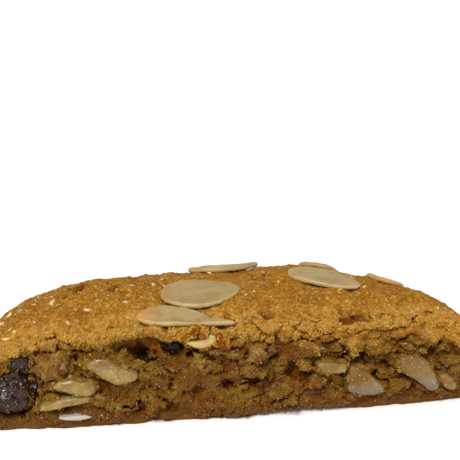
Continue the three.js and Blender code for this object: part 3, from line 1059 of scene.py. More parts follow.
    def joined(self, torn: Array, body: Array) -> Array:
        """Joins the torn face to the crust and the inner dough, and adds the perched crumbs.

        Args:
            torn: the torn face's field.
            body: the field over the whole block.

        Returns:
            The finished field over the front part.
        """
        rows = self.front.shape[1]
        clamp = np.ceil((self.face_line + self.lead) / self.step).astype(int) - self.front.first[1]
        rows_of = np.maximum(np.arange(rows)[None, :, None], clamp[:, None, :])
        rest = np.take_along_axis(body, np.clip(rows_of, 0, body.shape[1] - 1), axis=1)
        torn = np.where(self.behind > self.opened + 3.0, -3.0, torn)
        self.is_torn = torn - rest
        torn = np.maximum(torn, rest)
        for lump in PERCHED:
            shape = lump.field(*self.place, self.behind)
            np.maximum(self.sandy, 1.0 - smooth(-0.1, 0.3, shape), out=self.sandy)
            torn = soft_min(torn, shape + 0.12 * self.small + 0.16 * self.ragged, 0.25)
        return torn

    def to_object(self, points: Array, quads: Array) -> Thing:
        """Makes an object of the largest connected part of a mesh.

        Args:
            points: the mesh's points in millimetres.
            quads: its faces.

        Returns:
            The object, without the loose bits.
        """
        obj = mesh_object("baked_dough", points, quads)
        select_only(obj)
        bpy.context.tool_settings.mesh_select_mode = (True, False, False)
        seed = int(np.argmax(points[:, 1]))
        obj.data.vertices.foreach_set("select", np.arange(len(points)) == seed)
        with editing(obj, everything=False):
            bpy.ops.mesh.select_mode(type="VERT")
            bpy.ops.mesh.select_linked()
            bpy.ops.mesh.select_all(action="INVERT")
            bpy.ops.mesh.delete(type="VERT")
        return obj

    def thin_out(self, obj: Thing) -> None:
        """Thins out the base, the crust and the torn crumb, each to its own budget."""
        for zone, budget in enumerate((self.base_budget, self.crust_budget, self.face_budget)):
            mesh = obj.data
            chosen = self.zones(mesh) == zone
            sides = np.empty(len(mesh.polygons), np.int32)
            mesh.polygons.foreach_get("loop_total", sides)
            count = int((sides[chosen] - 2).sum())
            clear_selection(mesh)
            mesh.polygons.foreach_set("select", chosen)
            with editing(obj, everything=False):
                bpy.ops.mesh.select_mode(type="FACE")
                bpy.ops.mesh.decimate(ratio=min(1.0, budget / max(count, 1)))

    def zones(self, mesh: bpy.types.Mesh) -> Array:
        """Which faces belong to the base (0), the crust (1) and the torn crumb (2)."""
        centres = np.empty(len(mesh.polygons) * 3, np.float32)
        mesh.polygons.foreach_get("center", centres)
        centres = centres.reshape(-1, 3) / MM
        behind = centres[:, 1] - self.block.column(self.face_mean, centres, (0, 2))
        under = self.block.column(self.crust_height, centres, (0, 1)) - centres[:, 2]
        zone = np.where((behind < 2.0) | ((behind < self.opened) & (under > 1.2)), 2, 1)
        return np.where(centres[:, 2] < 0.2, 0, zone)

    def paint(self, obj: Thing, body: Array) -> None:
        """Stores the masks that colour the dough, one value for each vertex.

        Args:
            obj: the dough.
            body: its field over the whole block.
        """
        front, mesh = self.front, obj.data
        points = coordinates(mesh)
        at_front = points[:, 1] < float(front.y.max()) - 0.3
        behind = points[:, 1] - self.block.column(self.face_mean, points, (0, 2))
        under = self.block.column(self.crust_height, points, (0, 1)) - points[:, 2]
        torn = smooth(-0.25, 0.1, front.sample(self.is_torn, points)) * at_front
        slab = body[:, : front.shape[1], :]
        tip, edge = (
            np.where(at_front, front.sample(blurred(slab, [reach / self.step] * 3), points) / depth, 0.0)
            for reach, depth in ((0.8, 0.5), (0.35, 0.16)))
        spots = self.warped(points, [front.sample(shift, points) for shift in self.warp])
        tone, speck = (grains(spots, *kind.value)[2] for kind in (Grain.COARSE, Grain.FINE))
        under -= self.dry_reach(points[:, 0]) * torn * smooth(0.5, 3.0, under)
        under *= 1.0 - 0.65 * front.sample(self.sandy, points) * torn
        values = {
            "torn": torn,
            "behind": np.clip((behind + 1.0) / 8.0, 0.0, 1.0),
            "under": np.clip(under / 10.0, 0.0, 1.0),
            # How proud the crumb stands, which drives its painted light on tips and painted shade in
            # hollows.
            "tip": np.clip(0.5 + 0.5 * tip, 0.0, 1.0),
            # Fine hollows of the crumb, where its finish paints shade.
            "edge": np.clip(0.5 + 0.5 * edge, 0.0, 1.0),
            "moist": np.clip(front.sample(self.moist, points) * torn, 0.0, 1.0),
            "pale": front.sample(self.pale, points) * torn,
            # Where the cave's deep slit is painted dark as shade.
            "slit_shade": front.sample(self.slit_shade, points) * torn,
            # Dents and cracks of the crust, where the finish paints shade.
            "sunk": smooth(-0.7, -1.7, self.block.column(self.crust_rise, points, (0, 1))),
            "tone": tone,
            "speck": speck,
        }
        for name, value in values.items():
            store(mesh, name, value)
        mesh.shade_smooth()


# --------------------------------------------------------------------------- almonds and fruit


@dataclass(frozen=True)
class Chip:
    """A piece of almond in the torn face.

    Args:
        name: its node.
        outline: its outline in the tear's axes.
        cool: how far its lower end is painted a cool white as bounce light; past 1, all of it is white.
        wet: how moist it is.
        swell: strength of its surface relief in millimetres.
        light: how far it goes to a dry bright cream.
        painted_shadow: strength of the painted shadow over it, strongest towards its upper left.
        bare: whether no crumb covers its rim.
        cell: voxel size of its mesh in millimetres.
    """

    name: str
    outline: tuple[Point, ...]
    cool: float = 0.0
    wet: float = 0.3
    swell: float = 0.3
    light: float = 0.0
    painted_shadow: float = 0.0
    bare: bool = False
    cell: float = 0.16

    def build(self) -> Thing:
        """Models the piece from its outline, as deep as its solid, with a domed front."""
        low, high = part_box(self.name)
        outline = rounded(self.outline)
        dome = min(0.7 * MM, 0.3 * (high.z - low.z))
        start = low.y - 0.2 * MM + dome
        bpy.ops.mesh.primitive_circle_add(vertices=len(outline), fill_type="NGON", radius=MM)
        obj = bpy.context.active_object
        obj.name = self.name + "_body"
        for vertex, (x, z) in zip(obj.data.vertices, outline):
            vertex.co = ((x + TEAR_X) * MM, start, z * MM)
        middle = Vector((0.5 * (low.x + high.x), 0.5 * (low.y + high.y), 0.5 * (low.z + high.z)))
        with editing(obj):
            for narrow in (1.0, 0.8):
                self.extrude(0.45 * (high.y - start), narrow, middle)
            bpy.ops.mesh.select_all(action="SELECT")
            bpy.ops.mesh.normals_make_consistent(inside=False)
        clear_selection(obj.data)
        min(obj.data.polygons, key=lambda face: face.center.y).select = True
        with editing(obj, everything=False):
            for share, narrow in ((0.65, 0.88), (0.35, 0.7)):
                self.extrude(-share * dome, narrow, middle)
        stack(
            obj,
            ("REMESH", {"mode": "VOXEL", "voxel_size": self.cell * MM}),
            ("SMOOTH", {"factor": 0.5, "iterations": 8}),
            relief("CLOUDS", 2.2, self.swell),
            relief("CLOUDS", 0.7, 0.3 * self.swell),
        )
        self.mark(obj.data, low, high, start / MM, dome / MM)
        obj.data.shade_smooth()
        return obj

    def mark(self, mesh: bpy.types.Mesh, low: Vector, high: Vector, start: float, dome: float) -> None:
        """Stores the masks for its finish and for the crumbs that stick to it.

        Args:
            mesh: its mesh.
            low: lowest corner of its solid.
            high: highest corner of its solid.
            start: where its walls begin behind the domed front, in millimetres.
            dome: how far the front is domed, in millimetres.
        """
        points = coordinates(mesh)
        down = (high.z / MM - points[:, 2]) / ((high.z - low.z) / MM)
        across = (points[:, 0] * MM - low.x) / (high.x - low.x)
        outer = smooth(start - 0.45 * dome, start, points[:, 1])
        open_side = smooth(start + 0.8, start + 0.3, points[:, 1])
        masks = {
            # Cool white at the lower end is painted bounce light; past 1 the whole piece is white flesh.
            "cool": np.minimum(1.0, self.cool * smooth(0.45, 0.95, down) + (self.cool > 1.0)),
            "wet": self.wet * (1.0 - 0.7 * smooth(0.1, 0.8, down)),
            "light": self.light,
            # Painted shadow, strongest towards the upper left.
            "painted_shadow": self.painted_shadow * (1.0 - 0.5 * smooth(0.3, 0.8, 0.6 * down + 0.4 * across)),
            "torn": outer * open_side * (0.35 + 0.65 * (down < 0.5) + 2.0 * self.light),
            "under": 0.45,
            "moist": 0.1,
            "tip": 0.55,
            "behind": 0.15,
        }
        for name, value in masks.items():
            store(mesh, name, np.broadcast_to(value, len(points)))

    @staticmethod
    def extrude(depth: float, narrow: float, middle: Vector) -> None:
        """Extrudes the selection along Y and narrows it towards the piece's middle."""
        bpy.ops.mesh.extrude_region_move(TRANSFORM_OT_translate={"value": (0.0, depth, 0.0)})
        bpy.ops.transform.resize(value=(narrow, 1.0, narrow), center_override=middle)


CHIPS = (
    Chip("nut_wet", (
        (-25.3, 11.7), (-23.1, 13.1), (-20.9, 13.0), (-18.4, 11.3), (-16.0, 9.8), (-16.4, 8.7),
        (-18.1, 8.2), (-19.4, 8.0), (-20.7, 8.5), (-22.8, 9.8), (-23.9, 10.8)), wet=0.85, swell=0.25),
    Chip("nut_pale", (
        (-31.1, 8.2), (-29.4, 9.3), (-27.2, 9.6), (-25.4, 9.0), (-24.1, 9.2), (-23.2, 8.1),
        (-23.4, 6.9), (-24.2, 6.3), (-26.2, 6.4), (-27.7, 6.8), (-29.1, 7.5)), cool=0.2, wet=0.6),
    Chip("nut_thin", (
        (-33.4, 4.1), (-32.3, 4.9), (-30.6, 5.6), (-29.1, 6.0), (-27.3, 6.2), (-25.5, 6.2),
        (-24.4, 6.1), (-24.3, 5.2), (-25.5, 4.9), (-27.4, 4.6), (-28.8, 4.4), (-30.7, 4.0),
        (-32.1, 3.8)), wet=0.35, swell=0.05, painted_shadow=0.15),
    Chip("nut_sliver", (
        (-29.9, 2.5), (-27.4, 2.75), (-25.6, 2.75), (-24.3, 2.45), (-24.1, 2.25), (-24.9, 2.05),
        (-26.4, 1.85), (-27.8, 1.95), (-29.1, 2.1)), cool=4.0, wet=0.0, swell=0.04),
    Chip("nut_under_flake", (
        (-7.9, 15.4), (-6.5, 15.5), (-5.2, 15.5), (-4.1, 16.0), (-2.9, 16.6), (-1.8, 16.4),
        (-1.4, 15.7), (-2.2, 14.8), (-4.1, 14.0), (-5.0, 13.9), (-6.3, 14.3)),
        wet=0.0, swell=0.2, light=0.45, bare=True),
    Chip("nut_bar", (
        (16.6, 9.5), (17.4, 10.1), (19.2, 10.1), (21.0, 9.9), (22.3, 9.6), (22.6, 8.8), (22.3, 8.0),
        (21.3, 7.8), (19.3, 7.8), (17.6, 8.1)), swell=0.12, painted_shadow=0.5),
    Chip("nut_wedge", (
        (23.1, 8.5), (24.4, 8.9), (25.4, 8.6), (26.7, 7.7), (28.0, 6.3), (30.0, 4.3), (29.4, 3.3),
        (27.9, 2.9), (26.0, 3.1), (23.1, 3.8), (23.0, 5.2), (22.8, 6.6)),
        cool=0.65, wet=0.5, swell=0.2, painted_shadow=0.75),
    Chip("nut_bean", (
        (32.8, 8.8), (33.3, 9.8), (34.8, 10.2), (36.5, 10.0), (38.1, 9.3), (39.2, 8.0), (40.2, 6.4),
        (41.2, 3.6), (40.3, 2.9), (39.0, 3.1), (37.9, 4.1), (36.3, 5.2), (34.6, 6.2), (33.2, 7.3)),
        cool=0.7, swell=0.2, painted_shadow=0.65),
    Chip("nut_end", (
        (41.3, 5.7), (42.6, 6.0), (44.0, 5.0), (44.9, 3.5), (44.3, 2.6), (42.7, 3.0), (41.6, 4.2)),
        swell=0.2, painted_shadow=0.6),
)


@dataclass(frozen=True)
class Flake:
    """A flaked almond on the crust.

    Args:
        name: its node.
        x: its middle in the tear's axes.
        y: its middle in the tear's axes.
        a: half its length.
        turn: turn of its long axis in degrees.
        toast: how much its rounder end is toasted.
        nick: place of a nick in its rim, if it has one.
        tail: how far its pointed end reaches beyond its solid, in millimetres.
        cell: voxel size of its mesh in millimetres.
    """

    name: str
    x: float
    y: float
    a: float
    turn: float
    toast: float = 0.3
    nick: Point | None = None
    tail: tuple[float, float, float] = (0.0, 0.0, 0.0)
    cell: float = 0.17

    def build(self, node: Thing) -> Thing:
        """Models the flake over a copy of its solid.

        Args:
            node: the flake's solid.

        Returns:
            The finished flake.
        """
        obj = bpy.data.objects.new(self.name + "_slice", node.data.copy())
        obj.data.materials.clear()
        bpy.context.collection.objects.link(obj)
        with editing(obj):
            bpy.ops.mesh.remove_doubles(threshold=1e-6)
        if self.nick:
            self.cut_nick(obj)
        points = coordinates(obj.data)
        beyond = smooth(0.2, 1.0, (points[:, 0] - self.x - TEAR_X) / self.a)
        for vertex, share in zip(obj.data.vertices, beyond):
            vertex.co += Vector(self.tail) * (MM * float(share))
        stack(
            obj,
            ("REMESH", {"mode": "VOXEL", "voxel_size": self.cell * MM}),
            ("SMOOTH", {"factor": 0.5, "iterations": 2}),
            relief("CLOUDS", 3.0, 0.35, axis="Z"),
            relief("CLOUDS", 0.9, 0.08),
        )
        points = coordinates(obj.data)
        along, _ = turned(points[:, 0] - self.x - TEAR_X, points[:, 1] - self.y - TEAR_Y, self.turn)
        normals = np.empty(len(points) * 3, np.float32)
        obj.data.vertex_normals.foreach_get("vector", normals)
        # Mask of the upright sides, which the finish paints lighter as painted light.
        store(obj.data, "rim", 1.0 - smooth(0.35, 0.85, np.abs(normals[2::3])))
        store(obj.data, "toast", self.toast * smooth(-0.45, -1.0, along / self.a))
        obj.data.shade_smooth()
        return obj

    def cut_nick(self, obj: Thing) -> None:
        """Breaks a small three-cornered nick out of the rim."""
        low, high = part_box(self.name)
        at = ((self.nick[0] + TEAR_X) * MM, (self.nick[1] + TEAR_Y) * MM, 0.5 * (low.z + high.z))
        bpy.ops.mesh.primitive_cylinder_add(vertices=3, radius=1.3 * MM, depth=8.0 * MM, location=at,
                                            rotation=(0.0, 0.0, math.pi))
        tool = bpy.context.active_object
        stack(obj, ("BOOLEAN", {"operation": "DIFFERENCE", "object": tool, "solver": "FAST"}))
        bpy.data.objects.remove(tool)


FLAKES = (
    Flake("flake_front", -7.4, -22.7, 8.7, -6, 0.8, (-3.1, -22.4), (1.2, -0.7, -0.4)),
    Flake("flake_back", -3.5, -14.4, 7.9, 9, 0.2),
    Flake("flake_right", 22.5, -7.5, 8.0, -38, 0.5),
    Flake("flake_left", -31.0, 9.0, 7.2, 36, 0.6),
    Flake("flake_middle", 3.5, 4.5, 8.3, 20, 0.2),
    Flake("flake_rear", -13.0, 15.0, 7.6, -24, 0.7),
    Flake("flake_rear_right", 27.0, 12.0, 7.2, 48, 0.4),
    Flake("flake_rim_right", 38.5, 1.5, 6.4, 74, 0.9),
)


@dataclass(frozen=True)
class Fruit:
    """A moist, wrinkled piece of dried fruit.

    Args:
        name: its node.
        cuts: how often its starting ball is subdivided.
        fold: depth of its wrinkles in millimetres.
        wide: how much it swells beyond its solid to both sides, in millimetres.
        down: how much it swells beyond its solid downwards, in millimetres.
    """

    name: str
    cuts: int = 6
    fold: float = 0.5
    wide: float = 0.0
    down: float = 0.0

    def build(self) -> Thing:
        """Models the fruit in the box of its solid."""
        low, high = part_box(self.name)
        swell = Vector((self.wide, 0.0, 0.0)) * MM
        low, high = low - swell - Vector((0.0, 0.0, self.down)) * MM, high + swell
        bpy.ops.mesh.primitive_ico_sphere_add(subdivisions=self.cuts, radius=1.0)
        obj = bpy.context.active_object
        obj.name = self.name + "_fruit"
        with editing(obj):
            bpy.ops.transform.resize(value=tuple(0.5 * (high - low)), center_override=(0.0, 0.0, 0.0))
            bpy.ops.transform.translate(value=tuple(0.5 * (low + high)))
        stack(
            obj,
            relief("VORONOI", 2.8, self.fold, weight_1=-1.0, weight_2=1.0, noise_intensity=1.6),
            relief("CLOUDS", 1.6, self.fold, mid=0.55),
            ("SMOOTH", {"factor": 0.5, "iterations": 1}),
            relief("CLOUDS", 0.5, 0.12 * self.fold),
        )
        obj.data.shade_smooth()
        return obj


FRUIT = (
    Fruit("raisin_large", 6, 1.4, 0.3, 0.5),
    Fruit("raisin_upper", 5, 0.6, 0.3, 1.3),
    Fruit("raisin_cave", 5, 0.6, 0.3, 1.0),
    Fruit("raisin_right", 5),
)


# --------------------------------------------------------------------------- crumbs


@dataclass
class Kernel:
    """One shape that a scatter copies: a ball that is cut finer, pressed flat and made uneven."""

    cuts: int
    flat: float
    rough: float
    seed: int
    points: Array = field(init=False)
    faces: Array = field(init=False)

    def __post_init__(self) -> None:
        """Models the kernel and keeps its mesh as arrays."""
        bpy.ops.mesh.primitive_ico_sphere_add(subdivisions=self.cuts, radius=1.0)
        obj = bpy.context.active_object
        with editing(obj):
            bpy.ops.transform.vertex_random(offset=self.rough, uniform=0.4, normal=0.6, seed=self.seed)
            bpy.ops.transform.resize(value=(1.0, 0.85, self.flat), center_override=(0.0, 0.0, 0.0))
        self.points = coordinates(obj.data) * MM
        self.faces = triangles(obj.data)
        bpy.data.objects.remove(obj)

    @classmethod
    def several(cls, count: int, cuts: int, flat: float, rough: float, seed: int = 0) -> list["Kernel"]:
        """Kernels of one kind that differ only in their form."""
        return [cls(cuts, flat, rough, seed + number) for number in range(count)]


@dataclass
class Scatter:
    """Many small copies of a few kernels, joined into one piece.

    Args:
        name: the piece's name.
        kernels: the shapes to copy.
        count: how many copies there are.
        small: smallest radius in millimetres.
        large: largest radius in millimetres.
        sink: how far a copy sinks in, as a share of its radius.
        lie: whether the copies lie flat on the surface.
        seed: picks the pattern.
        facets: whether the copies are crystals with flat, glinting faces.
    """

    name: str
    kernels: Sequence[Kernel]
    count: int
    small: float
    large: float
    sink: float = 0.2
    lie: bool = False
    seed: int = 1
    facets: bool = False

    def build(self, host: "Skin", weight: Array) -> Thing:
        """Strews the copies over a surface.

        Args:
            host: the surface.
            weight: how densely each of its triangles is strewn.

        Returns:
            The piece, with a tone for each copy and the masks of the place under it.
        """
        rng, count = np.random.default_rng(self.seed), self.count
        chance = np.cumsum(weight * host.area)
        pick = np.searchsorted(chance, rng.random(count) * chance[-1])
        r1, r2 = np.sqrt(rng.random(count)), rng.random(count)
        shares = np.stack([1.0 - r1, r1 * (1.0 - r2), r1 * r2], axis=-1)[:, :, None]
        spots = (host.corners[pick] * shares).sum(axis=1)
        normal = host.normal[pick]
        radius = self.small + (self.large - self.small) * rng.random(count) ** 2.2
        lift = 0.06 if self.lie else 0.5
        spots = spots + normal * (radius * (1.0 - 2.0 * self.sink * rng.random(count)) * lift)[:, None]
        turns = self.turns(rng, normal)
        squash = 1.0 + 0.3 * (rng.random((count, 1, 3)) - 0.5)
        tone = rng.random(count)
        kind = rng.integers(0, len(self.kernels), count)
        points, faces, tones, origin, total = [], [], [], [], 0
        for index, kernel in enumerate(self.kernels):
            mine = np.nonzero(kind == index)[0]
            shape = kernel.points[None] * squash[mine]
            placed = np.einsum("nij,nvj->nvi", turns[mine], shape) * radius[mine, None, None]
            placed += spots[mine, None, :]
            size = len(kernel.points)
            first = total + size * np.arange(len(mine))[:, None, None]
            points.append(placed.reshape(-1, 3))
            faces.append((kernel.faces[None] + first).reshape(-1, 3))
            tones.append(np.repeat(tone[mine], size))
            origin.append(np.repeat(pick[mine], size))
            total += size * len(mine)
        obj = mesh_object(self.name, np.concatenate(points), np.concatenate(faces))
        store(obj.data, "tone", np.concatenate(tones))
        for name, values in host.masks.items():
            store(obj.data, name, values[np.concatenate(origin)])
        if not self.facets:
            obj.data.shade_smooth()
        return obj

    def turns(self, rng: np.random.Generator, normal: Array) -> Array:
        """A turn for each copy, free or with its flat side on the surface.

        Args:
            rng: source of the random numbers.
            normal: the surface's direction at each copy.

        Returns:
            A turning matrix for each copy.
        """
        count = len(normal)
        if self.lie:
            up = normal + 0.12 * rng.standard_normal((count, 3))
            up /= np.linalg.norm(up, axis=1)[:, None]
            side = np.cross(up, rng.standard_normal((count, 3)))
            side /= np.linalg.norm(side, axis=1)[:, None]
            return np.stack([side, np.cross(up, side), up], axis=-1)
        q = rng.standard_normal((count, 4))
        q /= np.linalg.norm(q, axis=1)[:, None]
        w, x, y, z = q.T
        rows = [
            [1 - 2 * (y * y + z * z), 2 * (x * y - z * w), 2 * (x * z + y * w)],
            [2 * (x * y + z * w), 1 - 2 * (x * x + z * z), 2 * (y * z - x * w)],
            [2 * (x * z - y * w), 2 * (y * z + x * w), 1 - 2 * (x * x + y * y)],
        ]
        return np.moveaxis(np.array(rows), -1, 0)


@dataclass
class Skin:
    """The finished surface of some pieces as triangles, for strewing crumbs on."""

    pieces: Sequence[Thing]

    def __post_init__(self) -> None:
        """Reads triangles, normals, areas and masks."""
        corners, masks = [], {name: [] for name in ("torn", "under", "moist", "tip", "behind")}
        for piece in self.pieces:
            mesh = piece.data
            ids = triangles(mesh)
            corners.append(coordinates(mesh)[ids])
            for name, parts in masks.items():
                values = np.zeros(len(mesh.vertices), np.float32)
                if name in mesh.attributes:
                    mesh.attributes[name].data.foreach_get("value", values)
                parts.append(values[ids].mean(axis=1))
        self.corners = np.concatenate(corners)
        cross = np.cross(self.corners[:, 1] - self.corners[:, 0], self.corners[:, 2] - self.corners[:, 0])
        length = np.linalg.norm(cross, axis=1)
        self.area = 0.5 * length
        self.normal = cross / np.maximum(length, 1e-9)[:, None]
        self.middle = self.corners.mean(axis=1)
        self.masks = {name: np.concatenate(parts) for name, parts in masks.items()}


# --------------------------------------------------------------------------- finishes


class Sketch:
    """Short hand for laying out the shader nodes of one node tree."""

    def __init__(self, tree: bpy.types.NodeTree) -> None:
        """Keeps the tree."""
        self.tree = tree

    def node(self, kind: str, **values: object) -> bpy.types.Node:
        """Adds a node and sets its properties."""
        made = self.tree.nodes.new(kind)
        for key, value in values.items():
            setattr(made, key, value)
        return made

    def put(self, target: Socket, source: object) -> None:
        """Links a socket to a source socket, or sets its plain value."""
        if isinstance(source, Socket):
            self.tree.links.new(source, target)
        else:
            target.default_value = source

    def attribute(self, name: str) -> Socket:
        """Value of one of the mesh's attributes."""
        return self.node("ShaderNodeAttribute", attribute_name=name).outputs["Fac"]

    def attributes(self, *names: str) -> list[Socket]:
        """Values of some of the mesh's attributes."""
        return [self.attribute(name) for name in names]

    def place(self) -> Socket:
        """Position in the object's own frame."""
        return self.node("ShaderNodeTexCoord").outputs["Object"]

    def height(self) -> Socket:
        """Height over the base in millimetres."""
        split = self.node("ShaderNodeSeparateXYZ")
        self.put(split.inputs[0], self.place())
        return self.times(split.outputs[2], 1.0 / MM)

    def noise(self, size: float, detail: float = 3.0, rough: float = 0.55) -> Socket:
        """Fractal noise.

        Args:
            size: about the size of its features in millimetres.
            detail: how many finer layers it has.
            rough: strength of the finer layers.

        Returns:
            Its value, around 0.5.
        """
        made = self.node("ShaderNodeTexNoise")
        values = {"Vector": self.place(), "Scale": 1.0 / (size * MM), "Detail": detail, "Roughness": rough}
        for name, value in values.items():
            self.put(made.inputs[name], value)
        return made.outputs["Fac"]

    def cells(self, size: float) -> Socket:
        """Distance to the middle of the nearest cell, for cells of about the given size."""
        made = self.node("ShaderNodeTexVoronoi")
        self.put(made.inputs["Vector"], self.place())
        self.put(made.inputs["Scale"], 1.0 / (size * MM))
        return made.outputs["Distance"]

    def math(self, kind: str, a: object, b: object) -> Socket:
        """Result of a mathematical node."""
        made = self.node("ShaderNodeMath", operation=kind)
        for socket, value in zip(made.inputs, (a, b)):
            self.put(socket, value)
        return made.outputs[0]

    def times(self, *factors: object) -> Socket:
        """Product of some values."""
        return reduce(lambda a, b: self.math("MULTIPLY", a, b), factors)

    def plus(self, *parts: object) -> Socket:
        """Sum of some values."""
        return reduce(lambda a, b: self.math("ADD", a, b), parts)

    def steps(self, value: object, low: float, high: float, out: Point = (0.0, 1.0)) -> Socket:
        """Maps a range of values smoothly to another.

        Args:
            value: the value.
            low: where the step starts.
            high: where it ends.
            out: what it goes from and to.

        Returns:
            The new value.
        """
        made = self.node("ShaderNodeMapRange", interpolation_type="SMOOTHSTEP")
        for socket, item in zip(made.inputs, (value, low, high, *out)):
            self.put(socket, item)
        return made.outputs[0]

    def mix(self, share: object, a: object, b: object) -> Socket:
        """Mixes two colours."""
        made = self.node("ShaderNodeMix", data_type="RGBA", blend_type="MIX")
        for index, value in ((0, share), (6, self.colour(a)), (7, self.colour(b))):
            self.put(made.inputs[index], value)
        return made.outputs[2]

    def coats(self, ground: object, *layers: tuple[object, object]) -> Socket:
        """Lays coats of colour over a ground, each with its share and its colour."""
        return reduce(lambda below, layer: self.mix(layer[0], below, layer[1]), layers, ground)

    def bump(self, height: object, strength: float, distance: float) -> Socket:
        """Normal of a fine relief whose depth is given in millimetres."""
        made = self.node("ShaderNodeBump")
        for name, value in (("Strength", strength), ("Distance", distance * MM), ("Height", height)):
            self.put(made.inputs[name], value)
        return made.outputs[0]

    def use(self, group: bpy.types.NodeTree, **values: object) -> bpy.types.Node:
        """Places a shared group and sets its inputs."""
        made = self.node("ShaderNodeGroup", node_tree=group)
        for key, value in values.items():
            self.put(made.inputs[key.capitalize()], value)
        return made

    @staticmethod
    def colour(value: object) -> object:
        """A colour with its fourth number."""
        return (*value, 1.0) if isinstance(value, tuple) and len(value) == 3 else value


class Paint(Sketch):
    """A new material to lay out, with the given name."""

    def __init__(self, name: str) -> None:
        """Makes the material and finds its shader."""
        self.material = bpy.data.materials.new(name)
        self.material.use_nodes = True
        super().__init__(self.material.node_tree)
        self.shader = next(n for n in self.tree.nodes if n.type == "BSDF_PRINCIPLED")

    def set(self, **values: object) -> None:
        """Sets the shader's sockets, named with underscores for spaces."""
        for key, value in values.items():
            self.put(self.shader.inputs[key.replace("_", " ")], self.colour(value))

    def soft(self, weight: float, *reach: float) -> None:
        """Lets light into the surface, with a reach in millimetres for each colour."""
        self.shader.inputs["Subsurface Weight"].default_value = weight
        self.shader.inputs["Subsurface Radius"].default_value = tuple(r * MM for r in reach)
        self.shader.inputs["Subsurface Scale"].default_value = 1.0


def srgb(red: int, green: int, blue: int) -> Colour:
    """Linear colour from screen values between 0 and 255."""
    shares = (part / 255.0 for part in (red, green, blue))
    return tuple(c / 12.92 if c <= 0.04045 else ((c + 0.055) / 1.055) ** 2.4 for c in shares)


def new_group(name: str, inputs: Sequence[str], outputs: dict[str, str]) -> bpy.types.NodeTree:
    """Makes an empty shader group.

    Args:
        name: its name.
        inputs: names of its number inputs.
        outputs: types of its outputs by name.

    Returns:
        The group's tree.
    """
    tree = bpy.data.node_groups.new(name, "ShaderNodeTree")
    for label in inputs:
        socket = tree.interface.new_socket(label, in_out="INPUT", socket_type="NodeSocketFloat")
        socket.default_value = 0.5
    for label, kind in outputs.items():
        tree.interface.new_socket(label, in_out="OUTPUT", socket_type=kind)
    return tree


@dataclass(frozen=True)
class TornColours:
    """The colours of torn dough: dry crumb under the crust, moist middle, browner low crumb, with painted
    light on proud tips and painted shade in hollows.
    """

    dry: Colour = srgb(164, 107, 20)
    pale: Colour = srgb(180, 140, 70)
    # Painted shade for the crumb's hollows.
    deep: Colour = srgb(130, 62, 2)
    amber: Colour = srgb(94, 49, 2)
    olive: Colour = srgb(110, 73, 10)
    honey: Colour = srgb(131, 98, 38)
    low: Colour = srgb(92, 53, 14)
    light: Colour = srgb(136, 106, 44)

    def group(self) -> bpy.types.NodeTree:
        """Builds the shared node group and returns it."""
        tree = new_group("torn_dough_colour", ("Under", "Moist", "Tone", "Tip", "Fine"),
                         {"Color": "NodeSocketColor"})
        s = Sketch(tree)
        given = s.node("NodeGroupInput").outputs
        sway = s.math("SUBTRACT", s.noise(2.2), 0.5)
        damp = s.times(given["Moist"], 0.5)
        top = s.steps(s.plus(given["Under"], s.times(sway, 0.5)), 0.47, 0.22)
        up = s.steps(s.plus(s.height(), s.times(sway, 4.0)), 1.6, 4.0)
        # Painted light: the prouder a point stands, the paler it is painted, mixed with its random grain
        # tone.
        lit = s.plus(s.times(given["Tone"], 0.55), s.times(given["Tip"], 0.6), s.times(given["Fine"], 0.3))
        zone = s.plus(s.times(top, 0.25), s.times(up, 0.3), 0.25)
        colour = s.coats(
            s.mix(s.steps(s.noise(5.0, 2.0), 0.38, 0.54), self.amber, self.olive),
            (top, self.dry),
        )
        colour = s.coats(
            s.mix(up, self.low, colour),
            (damp, self.amber),
            (s.times(s.steps(s.noise(2.6, 2.0), 0.56, 0.68), up, 0.5), self.light),
            # Painted light on proud tips.
            (s.times(s.steps(lit, 0.55, 1.15), s.math("SUBTRACT", 1.0, damp), zone),
             s.mix(top, self.honey, self.pale)),
            # Painted shade in hollows, where the crumb stands least proud.
            (s.times(s.steps(given["Tip"], 0.5, 0.1), 0.75), self.deep),
        )
        s.put(s.node("NodeGroupOutput").inputs["Color"], colour)
        return tree


def grain_group() -> bpy.types.NodeTree:
    """Shared fine grain: a value between 0 and 1 and a relief, both from the object's place."""
    tree = new_group("baked_grain", (), {"Value": "NodeSocketFloat", "Relief": "NodeSocketFloat"})
    s = Sketch(tree)
    fine = s.noise(0.5, 4.0, 0.62)
    sand = s.steps(s.cells(0.32), 0.55, 0.1)
    out = s.node("NodeGroupOutput")
    s.put(out.inputs["Value"], fine)
    s.put(out.inputs["Relief"], s.plus(s.times(fine, 0.7), s.times(sand, 0.3)))
    return tree


@dataclass(frozen=True)
class Shared:
    """The groups that the dough and its crumbs share: colours of torn dough, and fine grain."""

    torn: bpy.types.NodeTree
    grain: bpy.types.NodeTree


